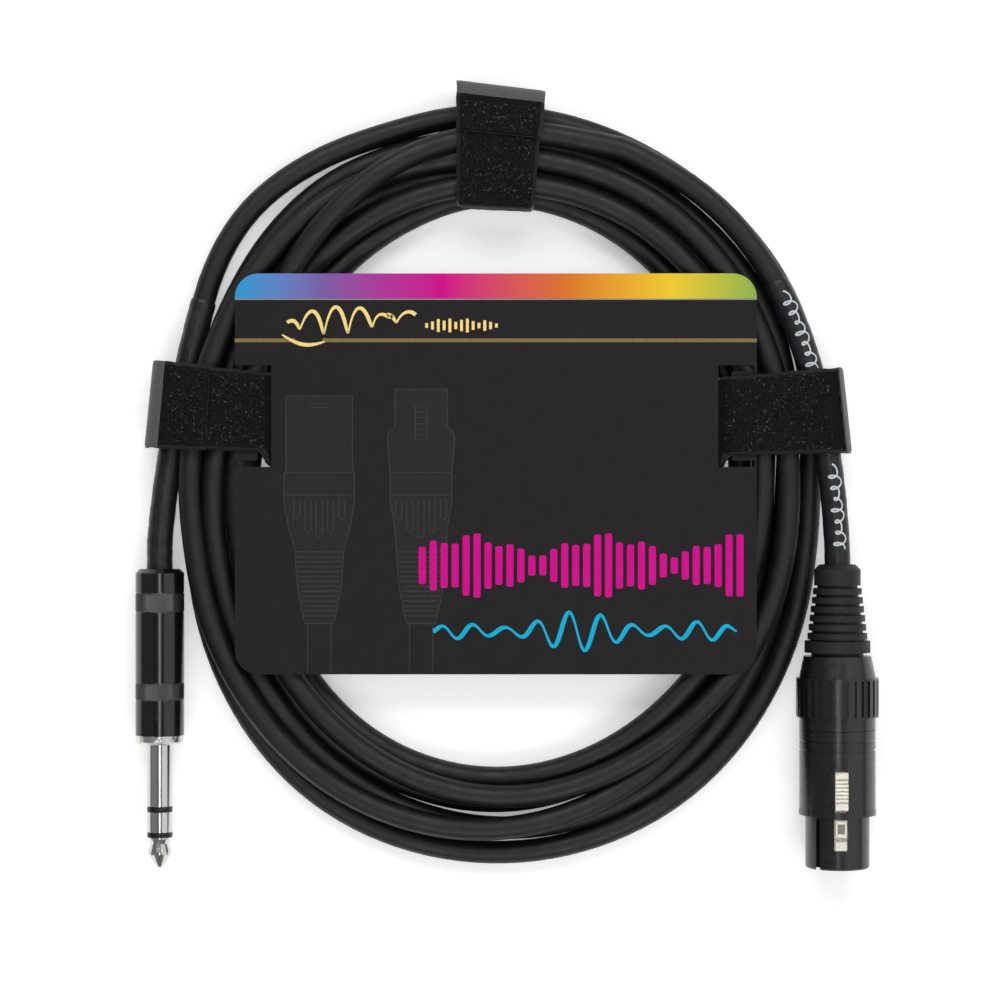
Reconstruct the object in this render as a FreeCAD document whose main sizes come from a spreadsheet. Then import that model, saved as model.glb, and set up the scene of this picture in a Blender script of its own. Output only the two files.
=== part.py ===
"""A 3 m audio lead, coiled flat, with a jack plug, a female XLR connector, three straps and a header card.

Row frame, in millimetres: the lead lies flat on the plane z = 0 with +Z up. X runs across the coil and
+Y runs from the connectors to the top strap. The origin is the bottom centre of the bounding box.
Each connector has a frame of its own: local +Z runs from its cable end to its mating end, which is the
row's -Y, and local +Y is up. Local z = 0 is the face where the cable goes in.
"""
import FreeCAD, Part
import math
import os
import re
import Sketcher
from FreeCAD import Placement, Rotation, Vector

SIZES = {
    # Where the connectors lie: axis x, y of the face where the cable goes in, height of the axis.
    "jack_axis_x": -87.2, "jack_rear_y": -23.0, "jack_axis_z": 6.13,
    "xlr_axis_x": 83.0, "xlr_rear_y": -21.8, "xlr_axis_z": 10.3,
    # Cable, its heat-shrink sleeves, and how deep its ends sit in the two connectors.
    "cable_r": 2.9, "shrink_r": 3.25, "jack_cable_depth": 14.0, "xlr_cable_depth": 34.5,
    "jack_shrink_start_y": -25.0, "jack_shrink_end_y": 48.4,
    "xlr_shrink_start_y": -28.0, "xlr_shrink_end_y": 50.7, "xlr_shrink_end_x": 67.7,
    "xlr_shrink_end_turn": 24.0,
    # Coil: an oval ring as high as two layers of cable over a strap.
    "coil_x": -1.0, "coil_y": -1.1, "coil_outer_x": 80.0, "coil_outer_y": 96.0,
    "coil_hole_x": -3.0, "coil_hole_y": -2.4, "coil_inner_x": 57.4, "coil_inner_y": 71.0,
    "coil_top": 12.0, "coil_rounding": 4.0,
    # Straps: a loop of webbing round the bundle, with a tab that closes it.
    "strap_width": 20.5, "strap_thick": 1.2, "strap_corner": 3.2, "strap_inner_corner": 2.0,
    "strap_clearance": 0.05, "tab_gap": 0.1, "tab_thick": 1.0,
    "top_x": -2.0, "top_y": 82.7, "top_turn": 87.0, "top_span": 30.2,
    "top_height_in": 13.2, "top_height_out": 13.2, "top_tab_length": 9.0,
    "left_x": -74.25, "left_y": 17.6, "left_turn": 176.0, "left_span": 29.5,
    "left_height_in": 13.85, "left_height_out": 13.85, "left_tab_length": 11.5,
    "right_x": 69.2, "right_y": 16.0, "right_turn": 3.0, "right_span": 30.7,
    "right_height_in": 13.85, "right_height_out": 14.5, "right_tab_length": 8.0,
    # Header card, clamped under the left and right straps, which pass through its two slots.
    "card_left": -67.7, "card_right": 62.6, "card_bottom": -49.2, "card_top": 50.9,
    "card_z": 12.0, "card_thick": 0.6, "card_corner": 6.0,
    "slot_low": 2.6, "slot_high": 28.0, "slot_wide": 3.4, "slot_leg": 5.6, "slot_leg_wide": 1.6,
    "left_slot_x": -62.0, "right_slot_x": 53.0,
    # Jack barrel, which screws onto the threaded boss behind the collar.
    "barrel_r": 6.13, "barrel_end": 41.8, "barrel_shoulder": 1.0, "barrel_bore_r": 5.2,
    "barrel_hole_r": 3.6, "barrel_floor": 3.0, "barrel_thread_r": 5.1, "barrel_thread_start": 36.2,
    "knurl_r": 5.98, "knurl_one_start": 5.8, "knurl_one_end": 11.0,
    "knurl_two_start": 28.4, "knurl_two_end": 33.1,
    "liner_outer_r": 5.15, "liner_inner_r": 4.85, "liner_start": 3.1, "liner_end": 35.8,
    # Jack plug: collar, then sleeve, ring and tip contacts with insulators between them.
    "collar_r": 5.95, "collar_start": 41.85, "collar_end": 44.0, "collar_chamfer": 0.6,
    "boss_r": 5.05, "boss_start": 36.6,
    "shaft_r": 3.175, "sleeve_root_r": 2.95, "sleeve_bore_r": 2.2, "sleeve_end": 59.7,
    "ring_insulator_end": 61.15, "ring_insulator_back": 33.6, "ring_bore_r": 1.6,
    "ring_end": 66.2, "ring_back": 31.0, "tip_insulator_r": 1.25,
    "tip_insulator_end": 67.5, "tip_insulator_back": 28.5, "tip_rod_r": 0.85, "tip_back": 25.5,
    "tip_base_r": 2.85, "tip_neck_start": 67.9, "tip_neck_r": 2.3, "tip_neck": 69.1,
    "tip_bulb_r": 2.95, "tip_bulb_start": 71.2, "tip_bulb_end": 71.8,
    "tip_nose_r": 0.7, "tip_nose": 75.0, "tip_end": 75.3,
    # Solder lugs, washer and cable clamp inside the jack barrel.
    "lug_thick": 0.8, "lug_half_width": 1.1, "tip_lug_r": 2.4, "tip_lug_z": 26.0, "tip_lug_tab_end": 18.0,
    "tip_lug_tab_low": -2.4, "tip_lug_tab_high": -1.8,
    "ring_lug_r": 3.3, "ring_lug_z": 31.4, "ring_lug_tab_end": 22.0,
    "ring_lug_tab_low": 3.05, "ring_lug_tab_high": 3.75,
    "washer_r": 3.0, "washer_start": 26.9, "washer_end": 28.4,
    "clamp_ring_r": 3.6, "clamp_start": 8.0, "clamp_ring_end": 12.0,
    "clamp_half_width": 1.8, "clamp_low": -4.3, "clamp_high": -3.4,
    # XLR rubber boot with bend-relief fins, held in the mouth of the screw cap.
    "boot_end_r": 5.8, "boot_end_length": 5.2, "boot_shoulder": 1.3, "boot_mouth_r": 3.95,
    "boot_mouth_depth": 12.0, "boot_bore_r": 3.4, "fin_first_r": 6.1, "fin_growth": 0.27, "fin_pitch": 2.25,
    "fin_thick": 1.5, "fin_depth": 1.1, "boot_ring_start": 19.1, "boot_ring_end": 22.0, "boot_ring_r": 8.2,
    "boot_neck_r": 6.5, "boot_flange_start": 24.4, "boot_flange_end": 27.1, "boot_flange_r": 7.8,
    # XLR screw cap.
    "cap_start": 22.9, "cap_end": 41.2, "cap_rear_r": 8.45, "cap_taper_r": 9.6, "cap_lip_r": 6.6,
    "cap_lip_end": 24.3, "cap_bore_r": 7.9, "cap_thread_start": 33.0, "cap_thread_r": 8.36,
    "grip_start": 28.3, "grip_end": 38.1, "grip_r": 10.3, "grip_groove_width": 0.9,
    "grip_groove_depth": 0.5, "grip_groove_inset": 0.4, "cap_front_r": 9.5,
    # XLR cable chuck, squeezed onto the jacket by the cap.
    "chuck_start": 27.3, "chuck_end": 32.9, "chuck_rear_r": 6.2, "chuck_r": 7.3, "chuck_taper_end": 29.5,
    "chuck_slit": 0.8, "chuck_slit_end": 31.0,
    # XLR metal shell.
    "shell_back": 33.0, "shell_thread_r": 8.3, "shell_start": 41.3, "shell_r": 9.5, "shell_bore_r": 7.4,
    "groove_one": 43.7, "groove_two": 46.1, "groove_width": 0.5, "groove_depth": 0.3,
    "flange_start": 61.3, "flange_end": 62.5, "flange_r": 9.65, "nose_r": 8.0, "nose_end": 75.8,
    "nose_chamfer": 0.35,
    "window_half_width": 1.75, "window_start": 50.9, "hook_window_start": 63.1, "hook_window_end": 71.0,
    "key_left": -5.9, "key_right": -5.0, "key_low": 4.0,
    # XLR contact insert with its latch channel, and the three socket contacts in it.
    "insert_r": 7.38, "insert_start": 44.0, "insert_end": 75.2,
    "channel_half_width": 2.2, "channel_floor": 3.6, "channel_start": 48.0, "channel_end": 72.6,
    "contact_side": 3.9, "contact_up": 0.9, "contact_down": -4.0, "contact_r": 1.5,
    "socket_r": 1.22, "socket_start": 62.5, "contact_end": 75.0, "cup_start": 39.5, "cup_r": 1.35,
    "cup_bore_r": 0.95, "cup_floor": 43.0,
    # XLR latch: a lever on a pin, with a thumb pad, a hook and a spring under it.
    "latch_half_width": 1.65, "latch_low": 6.0, "latch_high": 7.0, "latch_start": 48.7, "latch_end": 72.0,
    "latch_boss_low": 5.2, "latch_boss_end": 51.0, "pad_start": 51.2, "pad_end": 60.7, "pad_top": 9.2,
    "hook_half_width": 1.4, "hook_start": 63.4, "hook_end": 67.4, "stop_start": 68.6, "stop_end": 70.7,
    "hook_top": 7.8, "pin_r": 0.6, "pin_hole_r": 0.65, "pin_z": 49.8, "pin_y": 6.3, "pin_half": 2.6,
    "spring_thick": 0.25, "spring_half_width": 1.2, "spring_foot": 51.6, "spring_bend": 55.4,
    "spring_rise": 59.6, "spring_tip": 61.0,
    # Insulated cores and screen wires soldered inside the connectors.
    "xlr_wire_r": 0.65, "xlr_core_straight": 1.5, "xlr_core_slant": 2.2,
    "jack_wire_r": 0.5, "jack_core_side": 1.2, "jack_core_bend": 1.4, "jack_core_slant": 1.6,
    "drain_x": -1.75, "drain_y": -2.88,
}
STRAPS = ("top", "left", "right")
FIN_COUNT = 6
GRIP_RIBS = 30
# The share of the shorter run beside a corner of a route that the corner's arc takes.
ARC_SHARE = 0.45
# The coil stays this far from the axis of the XLR's boot, over its whole travel.
BOOT_CLEARANCE_R = 6.6
BOOT_TRAVEL = 10
# Larger than any heat-shrink sleeve is across, so that a window this wide trims only its ends.
WINDOW_SIDE = 60.0

# Routes of the two uncoiled stretches of cable, from each connector to where it joins the coil.
JACK_ROUTE = [
    (-87.2, -37.0, 6.13), (-87.2, -19.0, 6.13), (-85.6, -1.0, 6.1), (-82.6, 17.5, 5.7), (-78.6, 36.0, 5.1),
    (-73.4, 55.0, 4.5), (-63.5, 70.0, 4.0), (-47.5, 81.0, 3.6), (-29.0, 87.5, 3.4),
]
XLR_ROUTE = [
    (83.0, -56.3, 10.3), (83.0, -27.0, 10.3), (81.4, 3.0, 9.9), (76.2, 30.0, 9.3), (66.8, 52.0, 8.9),
    (51.5, 70.5, 8.7), (31.0, 82.3, 8.5),
]

doc = FreeCAD.newDocument("xlr_cable_coil")
sheet = doc.addObject("Spreadsheet::Sheet", "dims")
for row, (alias, value) in enumerate(SIZES.items(), start=1):
    sheet.set(f"A{row}", alias)
    sheet.set(f"B{row}", str(value))
    sheet.setAlias(f"B{row}", alias)
doc.recompute()

parts = []


# ---------------------------------------------------------------- helpers

def cells(text):
    """The expression for a text that names the sheet's cells plainly, such as "nose_end - 0.5"."""
    return re.sub(r"[a-z][a-z_]+", lambda word: "dims." + word.group(), str(text))


def bind(item, **sizes):
    """Bind properties of an object to expressions over the sheet."""
    for name, text in sizes.items():
        item.setExpression(name, cells(text))


def place(item, x, y, z):
    for axis, text in zip("xyz", (x, y, z)):
        item.setExpression("Placement.Base." + axis, cells(text))


def place_on_connector(item, end):
    """Put a sub-part in the frame of the "jack" or the "xlr"."""
    item.Placement = Placement(Vector(), Rotation(Vector(1, 0, 0), 90))
    place(item, end + "_axis_x", end + "_rear_y", end + "_axis_z")


def place_on_strap(item, strap):
    """Put a sub-part in a strap's frame: local +X points out of the coil, local +Z is up."""
    item.Placement = Placement(Vector(), Rotation(Vector(0, 0, 1), sheet.get(strap + "_turn")))
    place(item, strap + "_x", strap + "_y", "0")


def sub_part(item, name):
    item.Label = name
    parts.append(item)
    return item


def new_body(name):
    return sub_part(doc.addObject("PartDesign::Body", name), name)


def datum(body, role):
    return next(item for item in body.Origin.OriginFeatures if item.Role == role)


def outline(body, name, role, corners):
    """A sketch on one of the body's origin planes: a closed polygon with every corner bound to the sheet."""
    sketch = body.newObject("Sketcher::SketchObject", name)
    sketch.AttachmentSupport = (datum(body, role), "")
    sketch.MapMode = "FlatFace"
    count = len(corners)
    start = [Rotation(Vector(0, 0, 1), 360 * step / count).multVec(Vector(20, 0, 0)) for step in range(count)]
    for step in range(count):
        sketch.addGeometry(Part.LineSegment(start[step], start[(step + 1) % count]))
    for step in range(count):
        sketch.addConstraint(Sketcher.Constraint("Coincident", step, 2, (step + 1) % count, 1))
    for step, corner in enumerate(corners):
        for kind, axis, text in (("DistanceX", -2, corner[0]), ("DistanceY", -1, corner[1])):
            if text == "0":
                sketch.addConstraint(Sketcher.Constraint("PointOnObject", step, 1, axis))
                continue
            number = sketch.addConstraint(Sketcher.Constraint(kind, -1, 1, step, 1, 1.0))
            sketch.setExpression(f"Constraints[{number}]", cells(text))
    return sketch


def turned(name, end, profile):
    """A body turned about a connector's axis from (radius, z) corners."""
    body = new_body(name)
    place_on_connector(body, end)
    sketch = outline(body, "profile", "XZ_Plane", profile)
    turn = body.newObject("PartDesign::Revolution", "turn")
    turn.Profile = sketch
    turn.ReferenceAxis = (sketch, ["V_Axis"])
    turn.Angle = 360
    return body


def tube_profile(outer, inner, start, end):
    return [(inner, start), (outer, start), (outer, end), (inner, end)]


def block(body, name, low, high, cut=False):
    """Add a box to a body, or cut one from it, between two corners."""
    kind = "PartDesign::SubtractiveBox" if cut else "PartDesign::AdditiveBox"
    box = body.newObject(kind, name)
    box.AttachmentSupport = (datum(body, "XY_Plane"), "")
    box.MapMode = "FlatFace"
    for axis, text in zip("xyz", low):
        box.setExpression("AttachmentOffset.Base." + axis, cells(text))
    for side, near, far in zip(("Length", "Width", "Height"), low, high):
        box.setExpression(side, cells(f"({far}) - ({near})"))
    return box


def drill(body, name, role, across, up, radius, start, end):
    """Cut a round hole square to one of the body's origin planes."""
    hole = body.newObject("PartDesign::SubtractiveCylinder", name)
    hole.AttachmentSupport = (datum(body, role), "")
    hole.MapMode = "FlatFace"
    for axis, text in zip("xyz", (across, up, start)):
        hole.setExpression("AttachmentOffset.Base." + axis, cells(text))
    bind(hole, Radius=radius, Height=f"({end}) - ({start})")
    return hole


def cut(name, base, tool):
    result = doc.addObject("Part::Cut", name)
    result.Base = base
    result.Tool = tool
    return result


def rounded_path(points):
    """Straight runs joined by tangent arcs, each as large as its two runs allow."""
    edges = []
    radii = []
    start = points[0]
    for before, corner, after in zip(points, points[1:], points[2:]):
        back = before - corner
        ahead = after - corner
        reach = ARC_SHARE * min(back.Length, ahead.Length)
        half_turn = (math.pi - back.getAngle(ahead)) / 2
        radius = reach / math.tan(half_turn)
        back.normalize()
        ahead.normalize()
        inward = back + ahead
        inward.normalize()
        first = corner + back * reach
        last = corner + ahead * reach
        middle = corner + inward * (math.hypot(radius, reach) - radius)
        edges.append(Part.LineSegment(start, first).toShape())
        edges.append(Part.Arc(first, middle, last).toShape())
        radii.append(radius)
        start = last
    edges.append(Part.LineSegment(start, points[-1]).toShape())
    return Part.Wire(edges), radii


def tube(name, points, radius):
    """A round cable along a route, with its volume compared with its section times its length."""
    route = [Vector(*point) for point in points]
    path, radii = rounded_path(route)
    section = Part.Wire(Part.makeCircle(radius, route[0], route[1] - route[0]))
    feature = doc.addObject("Part::Feature", name)
    feature.Shape = path.makePipeShell([section], True, True)
    expected = math.pi * radius ** 2 * path.Length
    print(f"{name}: length {path.Length:.1f}, radii {[round(r, 1) for r in radii]}, "
          f"volume {feature.Shape.Volume:.1f} of {expected:.1f}")
    return feature


# ---------------------------------------------------------------- jack plug

def jack_barrel():
    turned("jack_barrel", "jack", [
        ("barrel_hole_r", "0"), ("barrel_r - barrel_shoulder", "0"), ("barrel_r", "barrel_shoulder"),
        ("barrel_r", "knurl_one_start"), ("knurl_r", "knurl_one_start"),
        ("knurl_r", "knurl_one_end"), ("barrel_r", "knurl_one_end"),
        ("barrel_r", "knurl_two_start"), ("knurl_r", "knurl_two_start"),
        ("knurl_r", "knurl_two_end"), ("barrel_r", "knurl_two_end"), ("barrel_r", "barrel_end"),
        ("barrel_thread_r", "barrel_end"), ("barrel_thread_r", "barrel_thread_start"),
        ("barrel_bore_r", "barrel_thread_start"), ("barrel_bore_r", "barrel_floor"),
        ("barrel_hole_r", "barrel_floor"),
    ])
    turned("jack_liner", "jack", tube_profile("liner_outer_r", "liner_inner_r", "liner_start", "liner_end"))


def jack_plug():
    turned("jack_collar", "jack", [
        ("sleeve_root_r", "boss_start"), ("boss_r", "boss_start"), ("boss_r", "collar_start"),
        ("collar_r", "collar_start"), ("collar_r", "collar_end - collar_chamfer"),
        ("collar_r - collar_chamfer", "collar_end"), ("sleeve_root_r", "collar_end"),
    ])
    turned("jack_sleeve", "jack", [
        ("sleeve_bore_r", "boss_start"), ("sleeve_root_r", "boss_start"), ("sleeve_root_r", "collar_end"),
        ("shaft_r", "collar_end"), ("shaft_r", "sleeve_end"), ("sleeve_bore_r", "sleeve_end"),
    ])
    turned("jack_ring_insulator", "jack", [
        ("ring_bore_r", "ring_insulator_back"), ("sleeve_bore_r", "ring_insulator_back"),
        ("sleeve_bore_r", "sleeve_end"), ("shaft_r", "sleeve_end"),
        ("shaft_r", "ring_insulator_end"), ("ring_bore_r", "ring_insulator_end"),
    ])
    turned("jack_ring_contact", "jack", [
        ("tip_insulator_r", "ring_back"), ("ring_bore_r", "ring_back"),
        ("ring_bore_r", "ring_insulator_end"), ("shaft_r", "ring_insulator_end"),
        ("shaft_r", "ring_end"), ("tip_insulator_r", "ring_end"),
    ])
    turned("jack_tip_insulator", "jack", [
        ("tip_rod_r", "tip_insulator_back"), ("tip_insulator_r", "tip_insulator_back"),
        ("tip_insulator_r", "ring_end"), ("shaft_r", "ring_end"),
        ("shaft_r", "tip_insulator_end"), ("tip_rod_r", "tip_insulator_end"),
    ])
    turned("jack_tip", "jack", [
        ("0", "tip_back"), ("tip_rod_r", "tip_back"), ("tip_rod_r", "tip_insulator_end"),
        ("tip_base_r", "tip_insulator_end"), ("tip_base_r", "tip_neck_start"),
        ("tip_neck_r", "tip_neck"), ("tip_bulb_r", "tip_bulb_start"), ("tip_bulb_r", "tip_bulb_end"),
        ("tip_nose_r", "tip_nose"), ("0", "tip_end"),
    ])


def solder_lug(name, bore, prefix):
    """A ring on the plug's centre with a flat tab that runs back towards the cable."""
    lug = turned(name, "jack", tube_profile(prefix + "_r", bore, prefix + "_z", prefix + "_z + lug_thick"))
    block(lug, "tab", ("-lug_half_width", prefix + "_tab_low", prefix + "_tab_end"),
          ("lug_half_width", prefix + "_tab_high", prefix + "_z + lug_thick"))


def jack_inside():
    solder_lug("jack_tip_lug", "tip_rod_r", "tip_lug")
    solder_lug("jack_ring_lug", "ring_bore_r", "ring_lug")
    turned("jack_lug_washer", "jack", tube_profile("washer_r", "tip_rod_r", "washer_start", "washer_end"))
    clamp = turned("jack_cable_clamp", "jack",
                   tube_profile("clamp_ring_r", "cable_r", "clamp_start", "clamp_ring_end"))
    block(clamp, "strip", ("-clamp_half_width", "clamp_low", "clamp_start"),
          ("clamp_half_width", "clamp_high", "boss_start"))
    start = sheet.jack_cable_depth
    side = sheet.jack_core_side
    bend = start + sheet.jack_core_bend
    end_of_slant = bend + sheet.jack_core_slant
    tip_y = (sheet.tip_lug_tab_low + sheet.tip_lug_tab_high) / 2
    ring_y = (sheet.ring_lug_tab_low + sheet.ring_lug_tab_high) / 2
    drain = (sheet.drain_x, sheet.drain_y)
    wires = {
        "jack_core_tip": [(0, -side, start), (0, -side, bend), (0, tip_y, end_of_slant),
                          (0, tip_y, sheet.tip_lug_tab_end)],
        "jack_core_ring": [(0, side, start), (0, side, bend), (0, ring_y, end_of_slant + sheet.jack_core_slant),
                           (0, ring_y, sheet.ring_lug_tab_end)],
        "jack_shield_drain": [(-side, -side, start), (-side, -side, bend), (*drain, end_of_slant),
                              (*drain, sheet.ring_lug_tab_end)],
    }
    for name, route in wires.items():
        place_on_connector(sub_part(tube(name, route, sheet.jack_wire_r), name), "jack")


# ---------------------------------------------------------------- XLR connector

def xlr_boot():
    fins = []
    for fin in range(FIN_COUNT):
        radius = f"fin_first_r + {fin} * fin_growth"
        start = f"boot_end_length + {fin} * fin_pitch"
        groove = f"{radius} - fin_depth"
        fins += [(groove, start), (groove, f"{start} + fin_pitch - fin_thick"),
                 (radius, f"{start} + fin_pitch - fin_thick"), (radius, f"{start} + fin_pitch")]
    fin_end = f"boot_end_length + {FIN_COUNT} * fin_pitch"
    last_groove = f"fin_first_r + {FIN_COUNT} * fin_growth - fin_depth"
    turned("xlr_boot", "xlr", [
        ("boot_mouth_r", "0"), ("boot_end_r - boot_shoulder", "0"), ("boot_end_r", "boot_shoulder"),
        ("boot_end_r", "boot_end_length"),
        *fins, (last_groove, fin_end), (last_groove, "boot_ring_start"),
        ("boot_ring_r", "boot_ring_start"), ("boot_ring_r", "boot_ring_end"),
        ("boot_neck_r", "boot_ring_end"), ("boot_neck_r", "boot_flange_start"),
        ("boot_flange_r", "boot_flange_start"), ("boot_flange_r", "boot_flange_end"),
        ("boot_bore_r", "boot_flange_end"), ("boot_bore_r", "boot_mouth_depth"),
        ("boot_mouth_r", "boot_mouth_depth"),
    ])


def xlr_cap():
    cap = turned("xlr_cap", "xlr", [
        ("cap_lip_r", "cap_start"), ("cap_rear_r", "cap_start"), ("cap_taper_r", "grip_start"),
        ("grip_r", "grip_start"), ("grip_r", "grip_end"), ("cap_front_r", "grip_end"),
        ("cap_front_r", "cap_end"), ("cap_thread_r", "cap_end"), ("cap_thread_r", "cap_thread_start"),
        ("cap_bore_r", "cap_thread_start"), ("cap_bore_r", "cap_lip_end"), ("cap_lip_r", "cap_lip_end"),
    ])
    groove = block(cap, "grip_groove",
                   ("grip_r - grip_groove_depth", "-grip_groove_width / 2", "grip_start + grip_groove_inset"),
                   ("grip_r + 1", "grip_groove_width / 2", "grip_end - grip_groove_inset"), cut=True)
    ring = cap.newObject("PartDesign::PolarPattern", "grip_grooves")
    ring.Originals = [groove]
    ring.Axis = (datum(cap, "Z_Axis"), [""])
    ring.Angle = 360
    ring.Occurrences = GRIP_RIBS
    cap.Tip = ring


def xlr_chuck():
    chuck = turned("xlr_chuck", "xlr", [
        ("cable_r", "chuck_start"), ("chuck_rear_r", "chuck_start"), ("chuck_r", "chuck_taper_end"),
        ("chuck_r", "chuck_end"), ("cable_r", "chuck_end"),
    ])
    block(chuck, "slit_up", ("-chuck_slit / 2", "-chuck_r - 1", "chuck_start - 1"),
          ("chuck_slit / 2", "chuck_r + 1", "chuck_slit_end"), cut=True)
    block(chuck, "slit_across", ("-chuck_r - 1", "-chuck_slit / 2", "chuck_start - 1"),
          ("chuck_r + 1", "chuck_slit / 2", "chuck_slit_end"), cut=True)


def shell_groove(start):
    return [("shell_r", start), ("shell_r - groove_depth", start),
            ("shell_r - groove_depth", start + " + groove_width"), ("shell_r", start + " + groove_width")]


def xlr_shell():
    shell = turned("xlr_shell", "xlr", [
        ("shell_bore_r", "shell_back"), ("shell_thread_r", "shell_back"), ("shell_thread_r", "shell_start"),
        ("shell_r", "shell_start"), *shell_groove("groove_one"), *shell_groove("groove_two"),
        ("shell_r", "flange_start"), ("flange_r", "flange_start"), ("flange_r", "flange_end"),
        ("nose_r", "flange_end"), ("nose_r", "nose_end - nose_chamfer"),
        ("nose_r - nose_chamfer", "nose_end"), ("shell_bore_r", "nose_end"),
    ])
    block(shell, "pad_window", ("-window_half_width", "latch_low", "window_start"),
          ("window_half_width", "shell_r + 1", "flange_start"), cut=True)
    block(shell, "hook_window", ("-window_half_width", "latch_low", "hook_window_start"),
          ("window_half_width", "shell_r + 1", "hook_window_end"), cut=True)
    block(shell, "key_slot", ("key_left", "key_low", "hook_window_start"),
          ("key_right", "shell_r", "nose_end + 1"), cut=True)


def xlr_contacts():
    insert = turned("xlr_insert", "xlr", [
        ("0", "insert_start"), ("insert_r", "insert_start"), ("insert_r", "insert_end"), ("0", "insert_end"),
    ])
    block(insert, "latch_channel", ("-channel_half_width", "channel_floor", "channel_start"),
          ("channel_half_width", "insert_r + 1", "channel_end"), cut=True)
    drill(insert, "pin_hole", "YZ_Plane", "pin_y", "pin_z", "pin_r", "-pin_half", "pin_half")
    spots = [("-contact_side", "contact_up"), ("contact_side", "contact_up"), ("0", "contact_down")]
    for number, (side, up) in enumerate(spots, start=1):
        drill(insert, f"contact_hole_{number}", "XY_Plane", side, up, "contact_r",
              "insert_start - 1", "insert_end + 1")
        contact = turned(f"xlr_contact_{number}", "xlr", [
            ("0", "cup_floor"), ("cup_bore_r", "cup_floor"), ("cup_bore_r", "cup_start"),
            ("cup_r", "cup_start"), ("cup_r", "insert_start"), ("contact_r", "insert_start"),
            ("contact_r", "contact_end"), ("socket_r", "contact_end"), ("socket_r", "socket_start"),
            ("0", "socket_start"),
        ])
        place(contact, f"xlr_axis_x + ({side})", "xlr_rear_y", f"xlr_axis_z + ({up})")


def xlr_latch():
    latch = new_body("xlr_latch")
    place_on_connector(latch, "xlr")
    block(latch, "lever", ("-latch_half_width", "latch_low", "latch_start"),
          ("latch_half_width", "latch_high", "latch_end"))
    block(latch, "boss", ("-latch_half_width", "latch_boss_low", "latch_start"),
          ("latch_half_width", "latch_high", "latch_boss_end"))
    block(latch, "pad", ("-latch_half_width", "latch_low", "pad_start"),
          ("latch_half_width", "pad_top", "pad_end"))
    block(latch, "hook", ("-hook_half_width", "latch_low", "hook_start"),
          ("hook_half_width", "hook_top", "hook_end"))
    block(latch, "stop", ("-hook_half_width", "latch_low", "stop_start"),
          ("hook_half_width", "hook_top", "stop_end"))
    drill(latch, "pin_hole", "YZ_Plane", "pin_y", "pin_z", "pin_hole_r", "-pin_half", "pin_half")
    pin = sub_part(doc.addObject("Part::Cylinder", "xlr_latch_pin"), "xlr_latch_pin")
    pin.Placement = Placement(Vector(), Rotation(Vector(0, 1, 0), 90))
    bind(pin, Radius="pin_r", Height="pin_half * 2")
    place(pin, "xlr_axis_x - pin_half", "xlr_rear_y - pin_z", "xlr_axis_z + pin_y")


def xlr_latch_spring():
    """A bent leaf: its foot lies on the channel's floor and its tip presses up under the lever."""
    spring = new_body("xlr_latch_spring")
    place_on_connector(spring, "xlr")
    sketch = outline(spring, "leaf", "YZ_Plane", [
        ("channel_floor", "spring_foot"), ("channel_floor", "spring_bend"),
        ("latch_low - spring_thick", "spring_rise"), ("latch_low - spring_thick", "spring_tip"),
        ("latch_low", "spring_tip"), ("latch_low", "spring_rise - spring_thick"),
        ("channel_floor + spring_thick", "spring_bend - spring_thick"),
        ("channel_floor + spring_thick", "spring_foot"),
    ])
    pad = spring.newObject("PartDesign::Pad", "leaf_width")
    pad.Profile = sketch
    pad.Midplane = True
    bind(pad, Length="spring_half_width * 2")


def xlr_wires():
    spots = {
        "xlr_shield_drain": (-sheet.contact_side, sheet.contact_up),
        "xlr_core_hot": (sheet.contact_side, sheet.contact_up),
        "xlr_core_cold": (0.0, sheet.contact_down),
    }
    for name, (side, up) in spots.items():
        near = (side / 3, up / 3)
        start = sheet.xlr_cable_depth
        bend = start + sheet.xlr_core_straight
        route = [(*near, start), (*near, bend), (side, up, bend + sheet.xlr_core_slant),
                 (side, up, sheet.cup_floor)]
        place_on_connector(sub_part(tube(name, route, sheet.xlr_wire_r), name), "xlr")


# ---------------------------------------------------------------- straps and card

def strap_loop(strap):
    """A band round the bundle. The top slopes where the bundle is higher on the outside."""
    inner, outer = f"-{strap}_span / 2", f"{strap}_span / 2"
    band = new_body(f"strap_{strap}")
    place_on_strap(band, strap)
    sketch = outline(band, "outside", "XZ_Plane", [
        (inner, "0"), (outer, "0"), (outer, strap + "_height_out"), (inner, strap + "_height_in")])
    pad = band.newObject("PartDesign::Pad", "width")
    pad.Profile = sketch
    pad.Midplane = True
    bind(pad, Length="strap_width")
    doc.recompute()
    rounding = band.newObject("PartDesign::Fillet", "outer_corners")
    rounding.Base = (pad, cross_edges(pad.Shape))
    bind(rounding, Radius="strap_corner")
    hole_sketch = outline(band, "inside", "XZ_Plane", [
        (f"{inner} + strap_thick", "strap_thick"), (f"{outer} - strap_thick", "strap_thick"),
        (f"{outer} - strap_thick", strap + "_height_out - strap_thick"),
        (f"{inner} + strap_thick", strap + "_height_in - strap_thick")])
    hole = band.newObject("PartDesign::Pocket", "bundle_space")
    hole.Profile = hole_sketch
    hole.Midplane = True
    bind(hole, Length="strap_width + 2")
    doc.recompute()
    inside = band.newObject("PartDesign::Fillet", "inner_corners")
    reach = sheet.get(strap + "_span") / 2 - sheet.strap_thick
    inside.Base = (hole, cross_edges(hole.Shape, reach))
    bind(inside, Radius="strap_inner_corner")
    return band


def cross_edges(shape, reach=None):
    """Straight edges along the band's width, or only those at a given distance from its middle."""
    names = []
    for number, edge in enumerate(shape.Edges, start=1):
        box = edge.BoundBox
        across = box.XLength < 0.01 and box.ZLength < 0.01
        if across and (reach is None or abs(abs(box.XMin) - reach) < 0.01):
            names.append(f"Edge{number}")
    return names


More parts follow.
